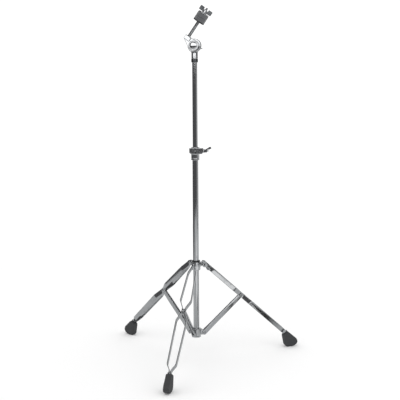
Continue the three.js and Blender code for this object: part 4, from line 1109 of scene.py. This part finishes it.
def with_painted_reflection_patch(tree, vector, colour, centre, reach, turn, level):
    """A colour with a painted reflection patch over it: a grey ellipse with a given centre, half axes and
    turn in degrees.
    """
    mapping = node(tree, "ShaderNodeMapping", vector_type="TEXTURE")
    mapping.inputs["Location"].default_value = (*centre, 0)
    mapping.inputs["Rotation"].default_value = (0, 0, math.radians(turn))
    mapping.inputs["Scale"].default_value = (*reach, 1)
    tree.links.new(vector, mapping.inputs["Vector"])
    away = node(tree, "ShaderNodeVectorMath", operation="LENGTH")
    tree.links.new(mapping.outputs["Vector"], away.inputs[0])
    inside = ramp(tree, away.outputs["Value"], [(0.85, 1.0), (1.0, 0.0)])
    return mixed_colour(tree, inside, colour, (level, level, level))


def pale_floor():
    """A sheet of pale paper under the stand. Plated surfaces mirror it as a painted reflection, darker,
    with painted brighter and darker reflection patches where the photographed straps show them."""
    mesh = bpy.data.meshes.new("floor")
    mesh.from_pydata(FLOOR_CORNERS, [], [(0, 1, 2, 3)])
    floor = bpy.data.objects.new("floor", mesh)
    material, tree, shader, vector = new_material("floor_paper", Roughness=0.9)
    shader.inputs["Specular IOR Level"].default_value = 0.0
    mirrored = MIRRORED_PAPER
    # painted reflection patches laid over the floor's mirrored colour
    for patch in PAINTED_REFLECTION_PATCHES:
        mirrored = with_painted_reflection_patch(tree, vector, mirrored, **patch)
    # the painted reflection is shown to glossy rays only; the camera and dull surfaces see plain pale paper
    rays = node(tree, "ShaderNodeLightPath")
    tint = mixed_colour(tree, rays.outputs["Is Glossy Ray"], PAPER, mirrored)
    tree.links.new(tint, shader.inputs["Base Color"])
    mesh.materials.append(material)
    bpy.context.collection.objects.link(floor)


def soft_light(name, turn, distance, height, size, brightness):
    """A softbox: a flat upright area light that faces the mast. The turn is from the front towards the right,
    and its power is pi times its brightness and its area."""
    data = bpy.data.lights.new(name, "AREA")
    data.shape = "RECTANGLE"
    data.size, data.size_y = size
    data.energy = brightness * math.pi * size[0] * size[1]
    light = bpy.data.objects.new(name, data)
    turn = math.radians(turn)
    away = Vector((math.sin(turn), -math.cos(turn), 0))
    light.location = Vector(MAST / METRE) + away * distance + Vector((0, 0, height))
    light.rotation_euler = away.to_track_quat("Z", "Y").to_euler()
    bpy.context.collection.objects.link(light)
    return light


def studio():
    """The studio round the stand: white as the camera and dull surfaces see it, and dark as plated ones
    mirror it. Two boxes at the right and one behind light the tubes' edges, and three high ones light the
    castings."""
    world = bpy.data.worlds.new("studio")
    bpy.context.scene.world = world
    world.use_nodes = True
    tree = world.node_tree
    background = next(one for one in tree.nodes if one.type == "BACKGROUND")
    rays = node(tree, "ShaderNodeLightPath")
    tint = mixed_colour(tree, rays.outputs["Is Glossy Ray"], SKY, MIRRORED_SKY)
    tree.links.new(tint, background.inputs["Color"])
    soft_light("right_box", turn=118, distance=2.6, height=0.64, size=(2.4, 1.16), brightness=0.47)
    soft_light("side_box", turn=72, distance=2.6, height=0.64, size=(0.9, 1.16), brightness=0.22)
    back = soft_light("back_box", turn=194.5, distance=3.0, height=1.1, size=(2.0, 1.5), brightness=1.2)
    back.visible_diffuse = back.visible_camera = False
    for number, turn in enumerate((-21, 14.5, 50)):
        high = soft_light(f"high_front_box_{number}", turn, distance=2.2, height=1.97, size=(1.39, 1.5),
                          brightness=1.7)
        high.visible_diffuse = False


# The camera, in metres, degrees, and pixels of the photograph
CAMERA_DISTANCE, CAMERA_HEIGHT = 3.0, 1.0524
CAMERA_TURN, CAMERA_PITCH, CAMERA_ROLL = 14.57, 8.228, 0.347
PHOTO_WIDTH, FOCAL_LENGTH, MAST_COLUMN = 400, 790.15, 195.53
SENSOR_WIDTH = 36.0


def camera():
    """The camera at the photograph's place, turned round the mast, aimed beside it and rolled a little."""
    turn, pitch, roll = (math.radians(angle) for angle in (CAMERA_TURN, CAMERA_PITCH, CAMERA_ROLL))
    heading = turn - math.atan((PHOTO_WIDTH / 2 - MAST_COLUMN) / FOCAL_LENGTH)
    data = bpy.data.cameras.new("camera")
    data.sensor_width = SENSOR_WIDTH
    data.lens = SENSOR_WIDTH * FOCAL_LENGTH / PHOTO_WIDTH
    data.clip_end = 100
    made = bpy.data.objects.new("camera", data)
    bpy.context.collection.objects.link(made)
    level = math.cos(pitch)
    ahead = Vector((-math.sin(heading) * level, math.cos(heading) * level, -math.sin(pitch)))
    right = ahead.cross(Vector(UP)).normalized()
    upward = right.cross(ahead)
    rolled_up = upward * math.cos(roll) + right * math.sin(roll)
    rolled_right = right * math.cos(roll) - upward * math.sin(roll)
    made.matrix_world = Matrix((rolled_right, rolled_up, -ahead)).transposed().to_4x4()
    made.location = Vector(MAST / METRE) + Vector((math.sin(turn), -math.cos(turn), 0)) * CAMERA_DISTANCE
    made.location.z = CAMERA_HEIGHT
    bpy.context.scene.camera = made
    bpy.context.scene.view_settings.view_transform = "Standard"


for leg_name in LEGS:
    build_leg(leg_name)
build_lower_collar()
build_upper_collar()
build_mast()
build_clamp_casting()
build_clamp_bolt()
build_clamp_lever()
build_stem()
build_tilter_bolt()
build_head()
pale_floor()
studio()
camera()
